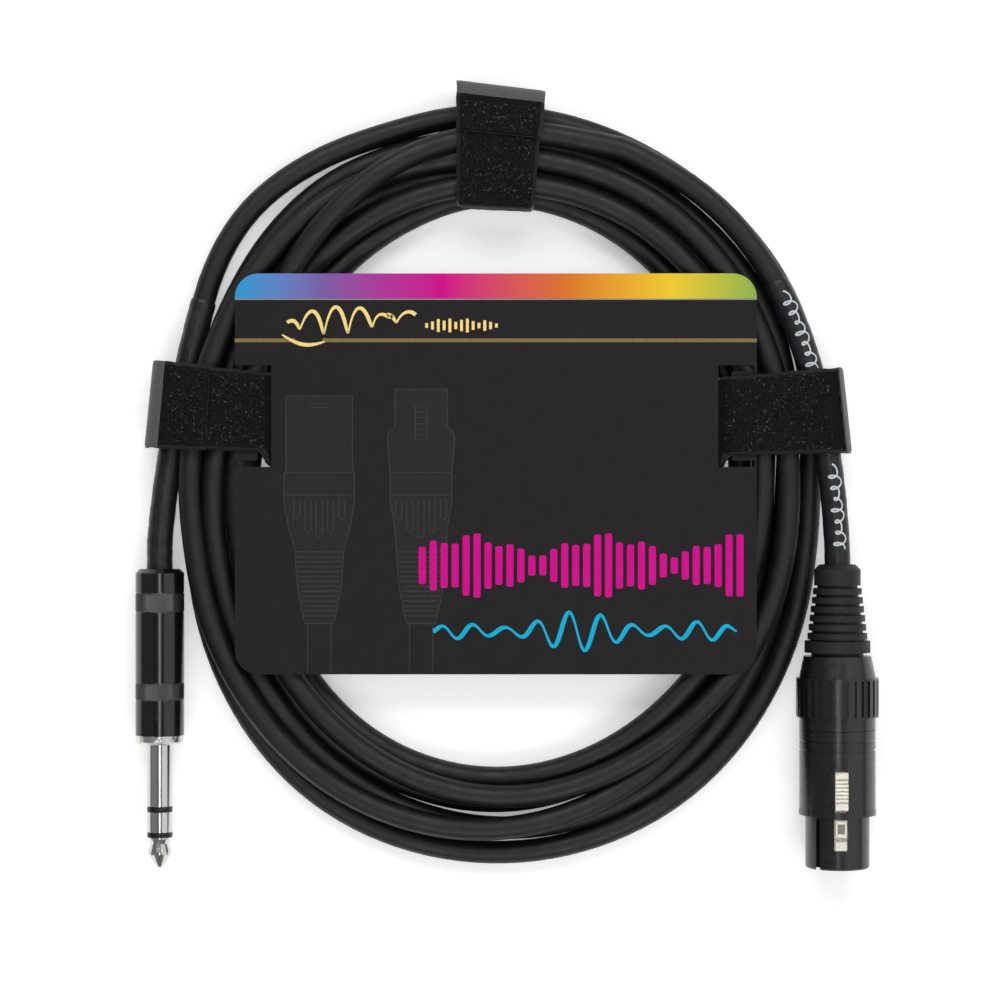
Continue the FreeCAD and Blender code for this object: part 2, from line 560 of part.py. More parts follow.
def strap_tab(strap):
    """The end of the strap that closes it: on the front, or down the outer side of the right strap."""
    tab = new_body(f"strap_{strap}_tab")
    place_on_strap(tab, strap)
    half_width = "strap_width / 2"
    if strap == "right":
        root = "right_height_out - strap_corner"
        face = "right_span / 2 + tab_gap"
        low = (face, "-" + half_width, f"{root} - right_tab_length")
        high = (f"{face} + tab_thick", half_width, root)
    else:
        root = f"{strap}_span / 2 - strap_corner"
        face = f"{strap}_height_out + tab_gap"
        low = (f"{root} - {strap}_tab_length", "-" + half_width, face)
        high = (root, half_width, f"{face} + tab_thick")
    block(tab, "flap", low, high)


def header_card():
    card = new_body("header_card")
    plain = block(card, "sheet_of_card", ("card_left", "card_bottom", "card_z"),
                  ("card_right", "card_top", "card_z + card_thick"))
    doc.recompute()
    upright = [f"Edge{number}" for number, edge in enumerate(plain.Shape.Edges, start=1)
               if edge.BoundBox.XLength < 0.01 and edge.BoundBox.YLength < 0.01]
    rounding = card.newObject("PartDesign::Fillet", "corners")
    rounding.Base = (plain, upright)
    bind(rounding, Radius="card_corner")
    below, above = "card_z - 1", "card_z + card_thick + 1"
    for side in ("left", "right"):
        near = side + "_slot_x"
        far = near + " + slot_wide"
        leg_low, leg_high = (near + " - slot_leg", far) if side == "left" else (near, far + " + slot_leg")
        block(card, side + "_slit", (near, "slot_low", below), (far, "slot_high", above), cut=True)
        block(card, side + "_low_leg", (leg_low, "slot_low", below),
              (leg_high, "slot_low + slot_leg_wide", above), cut=True)
        block(card, side + "_high_leg", (leg_low, "slot_high - slot_leg_wide", below),
              (leg_high, "slot_high", above), cut=True)


# ---------------------------------------------------------------- cable

def oval(name, x, y, across, along):
    """An upright oval prism, longer along Y than across X."""
    rim = doc.addObject("Part::Ellipse", name + "_rim")
    rim.Placement = Placement(Vector(), Rotation(Vector(0, 0, 1), 90))
    bind(rim, MajorRadius=along, MinorRadius=across)
    place(rim, x, y, "0")
    prism = doc.addObject("Part::Extrusion", name)
    prism.Base = rim
    prism.DirMode = "Custom"
    prism.Dir = Vector(0, 0, 1)
    prism.Solid = True
    bind(prism, LengthFwd="coil_top")
    return prism


def squeezed_by(strap):
    """The space a strap takes from the bundle: a slab as wide as the strap, less the inside of its loop."""
    span, width = sheet.get(strap + "_span"), sheet.strap_width
    inset = sheet.strap_thick + sheet.strap_clearance
    turn = Rotation(Vector(0, 0, 1), sheet.get(strap + "_turn"))
    middle = Vector(sheet.get(strap + "_x"), sheet.get(strap + "_y"), 0)
    slab = doc.addObject("Part::Box", strap + "_slab")
    bind(slab, Length=f"{strap}_span * 2", Width="strap_width", Height="coil_top + 2")
    slab.Placement = Placement(middle + turn.multVec(Vector(-span, -width / 2, 0)), turn)
    inside = doc.addObject("Part::Box", strap + "_inside")
    bind(inside, Length=f"{strap}_span - 2 * (strap_thick + strap_clearance)", Width="strap_width + 2",
         Height="coil_top + 2")
    inside.Placement = Placement(middle + turn.multVec(Vector(inset - span / 2, -width / 2 - 1, inset)), turn)
    doc.recompute()
    rounded = doc.addObject("Part::Fillet", strap + "_inside_rounded")
    rounded.Base = inside
    radius = sheet.strap_inner_corner
    rounded.Edges = [(number, radius, radius) for number, edge in enumerate(inside.Shape.Edges, start=1)
                     if edge.BoundBox.ZMax < inset + 0.01 and edge.Length > inside.Width.Value - 0.01
                     and edge.Length < inside.Width.Value + 0.01]
    return cut(strap + "_squeeze", slab, rounded)


def heat_shrink(name, cable, route, window, window_place):
    """A sleeve over part of a tail: a wider tube along the same route, trimmed to a window, less the cable."""
    sleeve = tube(name + "_full", route, sheet.shrink_r)
    box = doc.addObject("Part::Box", name + "_window")
    box.Length, box.Width, box.Height = window
    box.Placement = window_place
    trimmed = doc.addObject("Part::Common", name + "_trimmed")
    trimmed.Base = sleeve
    trimmed.Tool = box
    sub_part(cut(name, trimmed, cable), name)


def cable():
    tails = {"jack": JACK_ROUTE, "xlr": XLR_ROUTE}
    for end, route in tails.items():
        tails[end] = sub_part(tube(f"cable_tail_{end}", route, sheet.cable_r), f"cable_tail_{end}")
    jack_low = sheet.jack_shrink_start_y
    heat_shrink("jack_heat_shrink", tails["jack"], JACK_ROUTE,
                (WINDOW_SIDE, sheet.jack_shrink_end_y - jack_low, WINDOW_SIDE),
                Placement(Vector(sheet.jack_axis_x - WINDOW_SIDE / 2, jack_low, -WINDOW_SIDE / 2), Rotation()))
    turn = Rotation(Vector(0, 0, 1), sheet.xlr_shrink_end_turn)
    end = Vector(sheet.xlr_shrink_end_x, sheet.xlr_shrink_end_y, 0)
    slant = math.cos(math.radians(sheet.xlr_shrink_end_turn))
    length = (sheet.xlr_shrink_end_y - sheet.xlr_shrink_start_y) / slant
    heat_shrink("xlr_heat_shrink", tails["xlr"], XLR_ROUTE, (3 * WINDOW_SIDE, length, WINDOW_SIDE),
                Placement(end + turn.multVec(Vector(-1.5 * WINDOW_SIDE, -length, -WINDOW_SIDE / 2)), turn))
    ring = cut("ring", oval("outer", "coil_x", "coil_y", "coil_outer_x", "coil_outer_y"),
               oval("inner", "coil_hole_x", "coil_hole_y", "coil_inner_x", "coil_inner_y"))
    doc.recompute()
    rounded = doc.addObject("Part::Fillet", "ring_rounded")
    rounded.Base = ring
    radius = sheet.coil_rounding
    rounded.Edges = [(number, radius, radius) for number, edge in enumerate(ring.Shape.Edges, start=1)
                     if edge.BoundBox.ZLength < 0.01]
    clearance = doc.addObject("Part::Cylinder", "boot_clearance")
    clearance.Radius = BOOT_CLEARANCE_R
    bind(clearance, Height=f"boot_end_length + {BOOT_TRAVEL}")
    place_on_connector(clearance, "xlr")
    place(clearance, "xlr_axis_x", f"xlr_rear_y + {BOOT_TRAVEL}", "xlr_axis_z")
    coil = rounded
    tools = [squeezed_by(strap) for strap in STRAPS]
    tools += [doc.getObject("jack_heat_shrink_full"), doc.getObject("xlr_heat_shrink_full"), clearance]
    for tool in tools:
        coil = cut("coil_less_" + tool.Name, coil, tool)
    sub_part(coil, "cable_coil")


# ---------------------------------------------------------------- assembly

jack_barrel()
jack_plug()
jack_inside()
xlr_boot()
xlr_cap()
xlr_chuck()
xlr_shell()
xlr_contacts()
xlr_latch()
xlr_latch_spring()
xlr_wires()
for strap_name in STRAPS:
    strap_loop(strap_name)
    strap_tab(strap_name)
header_card()
cable()
doc.recompute()

for item in doc.Objects:
    if "Invalid" in item.State or "Error" in item.State:
        raise RuntimeError(f"{item.Label} failed: {item.State}")
for part in parts:
    if part.Shape.isNull() or not part.Shape.isValid() or not part.Shape.Solids:
        raise RuntimeError(f"{part.Label} has no valid solid")

os.makedirs("parts", exist_ok=True)
for part in parts:
    part.Shape.exportStep(f"parts/{part.Label}.step")
whole = Part.makeCompound([part.Shape for part in parts]).BoundBox
print(f"{len(parts)} nodes, box {whole}")
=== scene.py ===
import math
from itertools import combinations, takewhile

import bmesh
import bpy
import numpy as np
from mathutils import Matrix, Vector, noise


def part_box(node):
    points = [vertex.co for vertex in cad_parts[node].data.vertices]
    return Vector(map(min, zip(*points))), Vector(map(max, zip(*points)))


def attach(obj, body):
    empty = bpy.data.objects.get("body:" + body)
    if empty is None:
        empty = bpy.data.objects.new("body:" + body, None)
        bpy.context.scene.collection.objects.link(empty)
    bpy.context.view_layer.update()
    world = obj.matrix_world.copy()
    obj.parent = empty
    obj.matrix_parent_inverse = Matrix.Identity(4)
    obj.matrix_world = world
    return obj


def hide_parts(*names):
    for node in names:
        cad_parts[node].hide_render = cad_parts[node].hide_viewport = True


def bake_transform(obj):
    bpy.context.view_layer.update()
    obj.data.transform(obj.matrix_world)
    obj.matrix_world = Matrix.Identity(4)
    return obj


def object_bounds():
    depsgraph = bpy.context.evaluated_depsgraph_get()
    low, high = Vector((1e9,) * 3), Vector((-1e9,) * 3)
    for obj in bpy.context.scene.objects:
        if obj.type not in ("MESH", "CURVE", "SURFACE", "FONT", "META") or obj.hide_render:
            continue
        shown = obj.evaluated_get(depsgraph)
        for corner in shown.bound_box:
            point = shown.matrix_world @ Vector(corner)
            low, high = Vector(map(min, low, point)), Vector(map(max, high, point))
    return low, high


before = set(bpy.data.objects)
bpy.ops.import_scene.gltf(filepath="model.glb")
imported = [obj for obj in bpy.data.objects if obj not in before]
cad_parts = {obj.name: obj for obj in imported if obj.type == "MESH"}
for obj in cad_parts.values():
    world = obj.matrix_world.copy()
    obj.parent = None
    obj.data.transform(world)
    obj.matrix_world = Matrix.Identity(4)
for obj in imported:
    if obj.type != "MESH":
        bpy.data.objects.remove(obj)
CAD_BOX = [list(corner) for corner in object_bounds()]

MM = 0.001
CABLE_RADIUS = 2.9 * MM
TAPE = 1.2 * MM

# Where the cable runs uncoiled: from inside the jack's barrel and from inside the XLR's boot, up to the coil.
JACK_ROUTE = [
    (-0.0872, -0.0370, 0.00613), (-0.0872, -0.0190, 0.00613), (-0.0872, -0.0150, 0.00613),
    (-0.0856, -0.0010, 0.0061),
    (-0.0826, 0.0175, 0.0057), (-0.0786, 0.0360, 0.0051), (-0.0734, 0.0550, 0.0045),
    (-0.0635, 0.0700, 0.0040), (-0.0475, 0.0810, 0.0036), (-0.0290, 0.0875, 0.0034),
]
XLR_ROUTE = [
    (0.0830, -0.0563, 0.0103), (0.0830, -0.0250, 0.0103), (0.0830, -0.0165, 0.0103),
    (0.0814, 0.0030, 0.0099),
    (0.0762, 0.0300, 0.0093), (0.0668, 0.0520, 0.0089), (0.0515, 0.0705, 0.0087),
    (0.0310, 0.0823, 0.0085),
]

# The coil's seven passes, clockwise from the left strap: each one's distance in millimetres from the oval's
# middle every 30 degrees, and whether it lies low (0) or on top (1) there.
COIL_MIDDLE = Vector((-0.0020, -0.0015, 0.0))
PASSES = [
    ([83, 88, 93, 94, 90, 87, 76.5, 82.6, 90.4, 94.0, 92.1, 83.5], [0, 0, 0, 0, 0, 0, 0, 0, 0, 0, 0, 0]),
    ([76, 79, 88, 88, 84.5, 80.5, 70.7, 77.1, 84.4, 87.5, 82.6, 75], [0, 0, 0, 0, 0, 0, 0, 0, 0, 0, 0.6, 1]),
    ([72, 70, 74, 75.2, 75.2, 70, 67.2, 68.6, 73.4, 77.3, 75.1, 67], [1, 0.2, 0.4, 1, 1, 1, 1, 1, 0.3, 0, 0, 0]),
    ([63.0, 63, 68.5, 73.3, 69.5, 63, 59.5, 65.6, 76.4, 82.0, 78.1, 70.5], [0] * 12),
    ([70, 74, 80.5, 80.7, 78.5, 73.5, 65, 71.1, 82.4, 88.8, 86.5, 81], [0, 0, 0, 0, 0, 0, 0, 0, 0.6, 1, 1, 1]),
    ([77.1, 79.5, 84.7, 81.3, 81.7, 75.9, 72.9, 77.1, 78.3, 81.0, 75.6, 69.5], [1, 1, 0.7, 1, 1, 1, 1, 1, 1, 1, 1, 1]),
    ([67.6, 71, 82.3, 88.8, 89, 88, 84], [1, 1, 1.8, 1.2, 1, 1, 1]),
]


def make_camera():
    data = bpy.data.cameras.new("camera")
    data.lens = 100.0
    data.sensor_width = 36.0
    camera = bpy.data.objects.new("camera", data)
    camera.location = (-0.0015, -0.00566, 0.706)
    bpy.context.scene.collection.objects.link(camera)
    bpy.context.scene.camera = camera


make_camera()


# ---- the cable

STEPS_PER_TURN = 30
LANES_PER_TURN = 12
LOW_HEIGHT = CABLE_RADIUS
TOP_HEIGHT = CABLE_RADIUS + 4.9 * MM
# How high the turns may lie where nothing is over them, and where a strap is.
OPEN_CEILING, STRAP_CEILING = 30 * MM, 9.1 * MM
# How far the turns are let down, in sweeps, and the room they leave behind the jack's barrel for it to move back.
SWEEPS = 900
BARREL_ROOM = 8 * MM
# Past the card's edge by this much the turns may start to rise, and by that much more they are free.
CARD_MARGIN, CARD_RAMP = 7 * MM, 20 * MM


def polar(point):
    """A point's distance from the oval's middle, and its angle clockwise from the left, in turns."""
    x, y = point[0] - COIL_MIDDLE.x, point[1] - COIL_MIDDLE.y
    return math.hypot(x, y), (math.atan2(y, -x) / math.tau) % 1.0


def at_turn(distance, turn, height):
    angle = math.tau * turn
    return (
        COIL_MIDDLE.x - distance * math.cos(angle),
        COIL_MIDDLE.y + distance * math.sin(angle),
        height,
    )


def along_route(route, turn):
    """Distance and height of an uncoiled stretch where it passes that angle, or None."""
    for a, b in zip(route, route[1:]):
        ta, tb = polar(a)[1], polar(b)[1]
        if abs(ta - tb) < 0.5 and min(ta, tb) <= turn <= max(ta, tb):
            share = (turn - ta) / (tb - ta)
            distance = polar(a)[0] * (1 - share) + polar(b)[0] * share
            return distance, a[2] * (1 - share) + b[2] * share
    return None


def strap_zone(turn):
    """How much a strap holds the turns at that angle, from 0 to 1."""
    zones = ((0.0, 0.030), (0.037, 0.020), (0.247, 0.028), (0.459, 0.028))
    held = max(1.0 - max(0.0, abs(turn - middle) - half_width) / 0.03 for middle, half_width in zones)
    return max(0.0, min(1.0, held))


# Each strap's place round the coil in turns, half the width it holds, and its loop's walls from the oval's middle,
# with the cable's radius taken off.
STRAP_WALLS = [
    (0.037, 0.022, 63.4 * MM, 85.6 * MM), (0.247, 0.022, 73.2 * MM, 95.4 * MM), (0.459, 0.022, 62.2 * MM, 85.4 * MM),
]


def strap_walls(turn):
    """How near to the middle and how far from it the turns may lie at that angle, inside the straps' loops."""
    near, far = 0.0, 1.0
    for middle, half_width, inner, outer in STRAP_WALLS:
        outside = max(0.0, abs(turn - middle) - half_width) * 500 * MM
        near, far = max(near, inner - outside), min(far, outer + outside)
    return near, far


def settle_turns():
    """The coil's points: the passes as wound, then let down until they lie on and beside each other."""
    rows = len(PASSES)
    steps = np.arange(rows * STEPS_PER_TURN)
    turns = (steps % STEPS_PER_TURN) / STEPS_PER_TURN
    distances = [distance * MM for lanes, _ in PASSES for distance in lanes]
    heights = [LOW_HEIGHT + level * (TOP_HEIGHT - LOW_HEIGHT) for _, levels in PASSES for level in levels]
    marks = np.arange(len(distances)) * STEPS_PER_TURN / LANES_PER_TURN
    wound = np.column_stack([np.interp(steps, marks, distances), np.interp(steps, marks, heights)])
    wound[1:-1, 0] += 0.25 * (wound[:-2, 0] + wound[2:, 0] - 2 * wound[1:-1, 0])
    first = STEPS_PER_TURN * polar(JACK_ROUTE[-1])[1]
    last = STEPS_PER_TURN * (rows - 1 + polar(XLR_ROUTE[-1])[1])
    exists = steps <= STEPS_PER_TURN * (rows - 1) + STEPS_PER_TURN // 2
    fixed = np.zeros(len(steps), bool)
    for step, turn in zip(steps, turns):
        route = JACK_ROUTE if step < first else XLR_ROUTE if step > last else None
        found = route and along_route(route, turn)
        if found:
            wound[step], fixed[step] = found, True
    free = exists & ~fixed
    held = np.array([strap_zone(turn) for turn in turns])
    floor = CABLE_RADIUS + TAPE * held
    ceiling = OPEN_CEILING + (STRAP_CEILING - OPEN_CEILING) * np.minimum(1.0, held * 1.5)
    walls = np.array([strap_walls(turn) for turn in turns])
    card_low, card_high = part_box("header_card")
    _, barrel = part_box("jack_barrel")
    cosines, sines = np.cos(math.tau * turns), np.sin(math.tau * turns)
    apart = 2.03 * CABLE_RADIUS
    lie = wound.copy()
    for _ in range(SWEEPS):
        smooth = lie.copy()
        bent = np.column_stack([lie[:, 0] - wound[:, 0], lie[:, 1]])
        smooth[1:-1] += 0.25 * (bent[:-2] + bent[2:] - 2 * bent[1:-1]) * exists[2:, None]
        smooth += 0.02 * (wound - lie)
        smooth[:, 1] -= 0.02 * MM
        push = np.zeros_like(lie)
        for one, other in combinations(steps.reshape(rows, STEPS_PER_TURN), 2):
            gap = smooth[other] - smooth[one]
            size = np.hypot(gap[:, 0], gap[:, 1]) + 1e-9
            short = np.maximum(0.0, apart - size) * (exists[one] & exists[other])
            move = gap / size[:, None] * short[:, None] * 0.5
            push[one] -= move * np.where(fixed[other], 2.0, 1.0)[:, None]
            push[other] += move * np.where(fixed[one], 2.0, 1.0)[:, None]
        smooth += push * 0.7
        smooth[:, 0] = np.clip(smooth[:, 0], walls[:, 0], walls[:, 1])
        beside_barrel = (COIL_MIDDLE.y + smooth[:, 0] * sines < barrel.y + BARREL_ROOM) & (cosines > 0.7)
        clear_of_barrel = (COIL_MIDDLE.x - barrel.x - 2.8 * MM) / np.maximum(cosines, 0.7)
        smooth[:, 0] = np.where(beside_barrel, np.minimum(smooth[:, 0], clear_of_barrel), smooth[:, 0])
        x = COIL_MIDDLE.x - smooth[:, 0] * cosines
        y = COIL_MIDDLE.y + smooth[:, 0] * sines
        past_card = np.maximum.reduce([card_low.x - x, x - card_high.x, card_low.y - y, y - card_high.y])
        over_edge = np.clip((past_card - CARD_MARGIN) / CARD_RAMP, 0.0, 1.0)
        under_card = card_low.z - CABLE_RADIUS + over_edge * OPEN_CEILING
        smooth[:, 1] = np.clip(smooth[:, 1], floor, np.minimum(ceiling, under_card))
        lie[free] = smooth[free]
    return [at_turn(lie[step, 0], turns[step], lie[step, 1]) for step in steps if first < step < last]


def centre_line(curve_object):
    """The points that a curve object's own line passes through."""
    bare = curve_object.copy()
    bare.data = curve_object.data.copy()
    bare.data.bevel_depth = 0.0
    line = bpy.data.meshes.new_from_object(bare)
    places = [vertex.co.copy() for vertex in line.vertices]
    bpy.data.meshes.remove(line)
    bpy.data.objects.remove(bare)
    return places


def reached_along(line):
    """The distance along a line at each of its points."""
    return np.concatenate([[0.0], np.cumsum([(b - a).length for a, b in zip(line, line[1:])])])


def make_cable():
    """The cable as one open NURBS curve from inside the jack to inside the XLR, with a round section."""
    data = bpy.data.curves.new("cable", "CURVE")
    data.dimensions = "3D"
    data.resolution_u = 5
    data.bevel_depth = 1.0
    data.bevel_resolution = 6
    data.use_fill_caps = True
    route = JACK_ROUTE + settle_turns() + XLR_ROUTE[::-1]
    spline = data.splines.new("NURBS")
    spline.points.add(len(route) - 1)
    for point, place in zip(spline.points, route):
        point.co = (*place, 1.0)
        point.radius = CABLE_RADIUS
    spline.order_u = 3
    spline.use_endpoint_u = True
    cable = bpy.data.objects.new("cable", data)
    bpy.context.scene.collection.objects.link(cable)
    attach(cable, "lead")
    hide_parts("cable_coil", "cable_tail_jack", "cable_tail_xlr")
    return cable


cable = make_cable()
CABLE_LINE = centre_line(cable)


# ---- materials

# Blender's wave texture has this many radians to a unit of its scale.
BLENDER_WAVES = 20


def tone(red, green, blue):
    """A colour from 0 to 255 as it is seen, for a shader."""
    return tuple((level / 255) ** 2.2 for level in (red, green, blue)) + (1.0,)


class Surface:
    """A Principled material with helpers for noise, colour variation, roughness variation and bump."""

    def __init__(self, name, colour, roughness, metallic=0.0, specular=0.5, sheen=0.0):
        self.material = bpy.data.materials.new(name)
        self.material.use_nodes = True
        self.tree = self.material.node_tree
        self.shader = self.tree.nodes["Principled BSDF"]
        for socket, value in (("Base Color", colour), ("Roughness", roughness), ("Metallic", metallic),
                              ("Specular IOR Level", specular), ("Sheen Weight", sheen), ("Sheen Roughness", 0.4)):
            self.shader.inputs[socket].default_value = value
        self.places = self.tree.nodes.new("ShaderNodeTexCoord").outputs["Object"]

    def join(self, source, target):
        self.tree.links.new(source, target)

    def noise(self, scale, detail=4.0, stretch=(1, 1, 1)):
        """Noise whose grains are 1 / scale metres long, stretched along the axes."""
        mapping = self.tree.nodes.new("ShaderNodeMapping")
        mapping.inputs["Scale"].default_value = stretch
        grain = self.tree.nodes.new("ShaderNodeTexNoise")
        grain.inputs["Scale"].default_value = scale
        grain.inputs["Detail"].default_value = detail
        self.join(self.places, mapping.inputs["Vector"])
        self.join(mapping.outputs["Vector"], grain.inputs["Vector"])
        return grain.outputs["Fac"]

    def waves(self, scale, direction):
        """Even ridges across a direction, about 1 / scale metres apart."""
        bands = self.tree.nodes.new("ShaderNodeTexWave")
        bands.bands_direction = direction
        bands.inputs["Scale"].default_value = scale * math.tau / BLENDER_WAVES
        self.join(self.places, bands.inputs["Vector"])
        return bands.outputs["Fac"]

    def product(self, one, other):
        maths = self.tree.nodes.new("ShaderNodeMath")
        maths.operation = "MULTIPLY"
        self.join(one, maths.inputs[0])
        self.join(other, maths.inputs[1])
        return maths.outputs["Value"]

    def spread(self, source, low, high, from_low=0.35, from_high=0.65):
        """A number that runs from low to high as the source runs between its own two limits."""
        ranged = self.tree.nodes.new("ShaderNodeMapRange")
        for socket, value in (("From Min", from_low), ("From Max", from_high), ("To Min", low), ("To Max", high)):
            ranged.inputs[socket].default_value = value
        self.join(source, ranged.inputs["Value"])
        return ranged.outputs["Result"]

    def colours(self, source, stops):
        """The base colour follows the source through (position, colour) stops."""
        ramp = self.tree.nodes.new("ShaderNodeValToRGB")
        elements = ramp.color_ramp.elements
        elements[0].position, elements[0].color = stops[0]
        elements[1].position, elements[1].color = stops[-1]
        for position, colour in stops[1:-1]:
            elements.new(position).color = colour
        self.join(source, ramp.inputs["Fac"])
        self.join(ramp.outputs["Color"], self.shader.inputs["Base Color"])

    def roughness(self, source, low, high):
        self.join(self.spread(source, low, high), self.shader.inputs["Roughness"])

    def bump(self, source, height, strength=1.0):
        """Relief of that height in metres. Each call adds to the one before."""
        relief = self.tree.nodes.new("ShaderNodeBump")
        relief.inputs["Distance"].default_value = height
        relief.inputs["Strength"].default_value = strength
        self.join(source, relief.inputs["Height"])
        normal = self.shader.inputs["Normal"]
        if normal.is_linked:
            self.join(normal.links[0].from_socket, relief.inputs["Normal"])
        self.join(relief.outputs["Normal"], normal)


def mottled(name, base, rough, specular, tones=None, shine=None, reliefs=(), sheen=0.0, coat=0.0):
    """A surface with a noise for its tones, for its roughness and for each relief. Tones are (noise, stops), shine
    is (noise, lowest, highest) and a relief is (noise, millimetres, strength). A noise is (scale, detail, stretch)."""
    skin = Surface(name, tone(*base), rough, specular=specular, sheen=sheen)
    if tones:
        skin.colours(skin.noise(*tones[0]), [(stop, tone(*shade)) for stop, shade in tones[1]])
    if shine:
        skin.roughness(skin.noise(*shine[0]), *shine[1:])
    for grain, height, strength in reliefs:
        skin.bump(skin.noise(*grain), height * MM, strength)
    if coat:
        skin.shader.inputs["Coat Weight"].default_value = coat
        skin.shader.inputs["Coat Roughness"].default_value = 0.18
    return skin.material


def enamel(name, rough, level):
    """Black baked enamel over die-cast metal, with fine orange peel under a thin clear coat."""
    darker, lighter = (level - 5, level - 5, level - 4), (level + 4, level + 4, level + 5)
    return mottled(name, (level, level, level + 1), rough, 0.5, ((1500,), [(0.3, darker), (0.7, lighter)]),
                   ((700, 6), rough - 0.04, rough + 0.05), [((1900, 3), 0.008, 0.5)], coat=0.25)


def plated_surface(name, colour, rough, crushed=False):
    """Bright plated metal with turning marks round it and fine handling scratches, or crushed like a crimped rim."""
    plate = Surface(name, (*colour, 1.0), rough, metallic=1.0)
    plate.roughness(plate.noise(900, 6, (1, 5, 1)), rough * 0.8, rough * 1.35)
    if crushed:
        plate.bump(plate.noise(900, 2), 0.22 * MM)
    else:
        plate.bump(plate.noise(1500, 4, (0.2, 6, 0.2)), 0.003 * MM, 0.5)
    return plate.material


def wire_surface(name, base):
    return mottled(name, base, 0.4, 0.5, shine=((1200,), 0.32, 0.5), reliefs=[((2500,), 0.02, 0.5)])


def woven_surface(name, low, high):
    """Close plain weave, in ribs across the tape, darker where its relief is low: painted shade between the threads.
    """
    cloth = Surface(name, tone(high, high, high + 2), 0.62, specular=0.35, sheen=0.2)
    ribs = cloth.product(cloth.waves(2600, "X"), cloth.waves(2100, "Y"))
    # The colour follows the relief: low is darker, as painted shade in the weave's hollows.
    cloth.colours(ribs, [(0.05, tone(low, low, low + 1)), (0.7, tone(high, high, high + 3))])
    cloth.bump(ribs, 0.09 * MM, 0.9)
    cloth.bump(cloth.noise(420, 5), 0.12 * MM, 0.5)
    return cloth.material


def ink_surface(name, colour, rough=0.45):
    """Printed ink with a faint screen in it."""
    ink = Surface(name, tone(*colour), rough, specular=0.1)
    darker = tone(*(level * 0.93 for level in colour))
    ink.colours(ink.noise(1400, 6), [(0.35, darker), (0.65, tone(*colour))])
    return ink.material


def rainbow_surface(left, right):
    """Ink that runs from blue through magenta and orange to green across the card."""
    ink = Surface("rainbow_ink", tone(200, 60, 120), 0.5, specular=0.1)
    split = ink.tree.nodes.new("ShaderNodeSeparateXYZ")
    ink.join(ink.places, split.inputs["Vector"])
    across = ink.spread(split.outputs["X"], 0.0, 1.0, left, right)
    ink.colours(across, [(0.0, tone(40, 150, 205)), (0.08, tone(92, 130, 194)), (0.17, tone(122, 92, 162)),
                         (0.27, tone(165, 60, 150)), (0.4, tone(204, 10, 134)), (0.52, tone(212, 80, 92)),
                         (0.63, tone(216, 112, 44)), (0.75, tone(230, 165, 46)), (0.84, tone(236, 198, 50)),
                         (0.92, tone(188, 188, 62)), (1.0, tone(132, 174, 80))])
    return ink.material


# Matt black PVC, slightly uneven, with a little dust.
JACKET = mottled("cable_jacket", (18, 18, 19), 0.5, 0.42,
                 ((900,), [(0.3, (14, 14, 15)), (0.62, (21, 21, 22)), (0.8, (34, 34, 36))]),
                 ((260, 6), 0.44, 0.58), [((2600, 3), 0.03, 0.5), ((110, 2), 0.25, 0.35)])
# Heat-shrink tube, smoother than the jacket, with faint shrink marks round it.
SHRINK = mottled("shrink_sleeve", (30, 30, 32), 0.4, 0.4, ((500,), [(0.3, (25, 25, 27)), (0.75, (37, 37, 40))]),
                 ((400, 5), 0.32, 0.46), [((700, 3, (1, 3, 1)), 0.05, 0.5)])
RUBBER = mottled("boot_rubber", (32, 32, 34), 0.55, 0.35, ((1100,), [(0.3, (27, 27, 29)), (0.7, (38, 38, 41))]),
                 ((500, 5), 0.48, 0.64), [((3200, 3), 0.03, 0.7)])
INSULATOR = mottled("black_insulator", (20, 20, 21), 0.35, 0.45, shine=((900,), 0.3, 0.45),
                    reliefs=[((2500,), 0.02, 0.5)])
# Satin-laminated printed board, nearly black.
CARD = mottled("printed_card", (35, 33, 34), 0.5, 0.15, ((300, 8), [(0.3, (33, 31, 32)), (0.7, (37, 35, 36))]),
               ((600, 5), 0.46, 0.58), [((1800, 4), 0.012, 0.6)])
SHELL = enamel("black_shell", 0.3, 22)
BARREL = enamel("barrel_enamel", 0.17, 20)
KNURL = enamel("knurl_enamel", 0.24, 38)
NICKEL = plated_surface("nickel", (0.62, 0.61, 0.60), 0.16)
LATCH_STEEL = plated_surface("latch_steel", (0.58, 0.56, 0.44), 0.3)
# A brighter copy of the latch's metal for its ribs and rims: a painted highlight.
LATCH_PAINTED_HIGHLIGHT = plated_surface("latch_painted_highlight", (0.92, 0.91, 0.84), 0.34)
# A darker copy of the latch's metal for a plate in the hook's window: painted shade.
LATCH_PAINTED_SHADE = plated_surface("latch_recess_painted_shade", (0.26, 0.25, 0.22), 0.4)
RIM = plated_surface("crimped_rim", (0.66, 0.65, 0.63), 0.24, crushed=True)
BRASS = plated_surface("contact_brass", (0.75, 0.58, 0.30), 0.22)
COPPER = plated_surface("copper_screen", (0.70, 0.36, 0.20), 0.3)
# Hook-and-loop tape: the pile, the loops that stand out of it, a few of them pale as painted glints, its woven edge
# and back with painted shade between their threads, and its paler end.
PILE = mottled("strap_pile", (15, 15, 16), 0.75, 0.15,
               ((1300, 5), [(0.34, (7, 7, 8)), (0.52, (14, 14, 15)), (0.66, (24, 24, 26)), (0.78, (52, 52, 55))]),
               sheen=0.08)
LOOP = mottled("strap_loop", (20, 20, 21), 0.5, 0.35, ((1100, 3), [(0.36, (6, 6, 7)), (0.62, (38, 38, 41))]))
# Pale, glossy loops for the few that glint: their pale colour is a painted glint.
LOOP_PAINTED_GLINT = mottled("strap_loop_painted_glint", (92, 94, 98), 0.3, 0.6,
                      ((1500, 3), [(0.35, (48, 50, 54)), (0.65, (104, 106, 112))]))
BACKING = woven_surface("strap_backing", 8, 24)
TAIL = woven_surface("strap_tail", 66, 108)

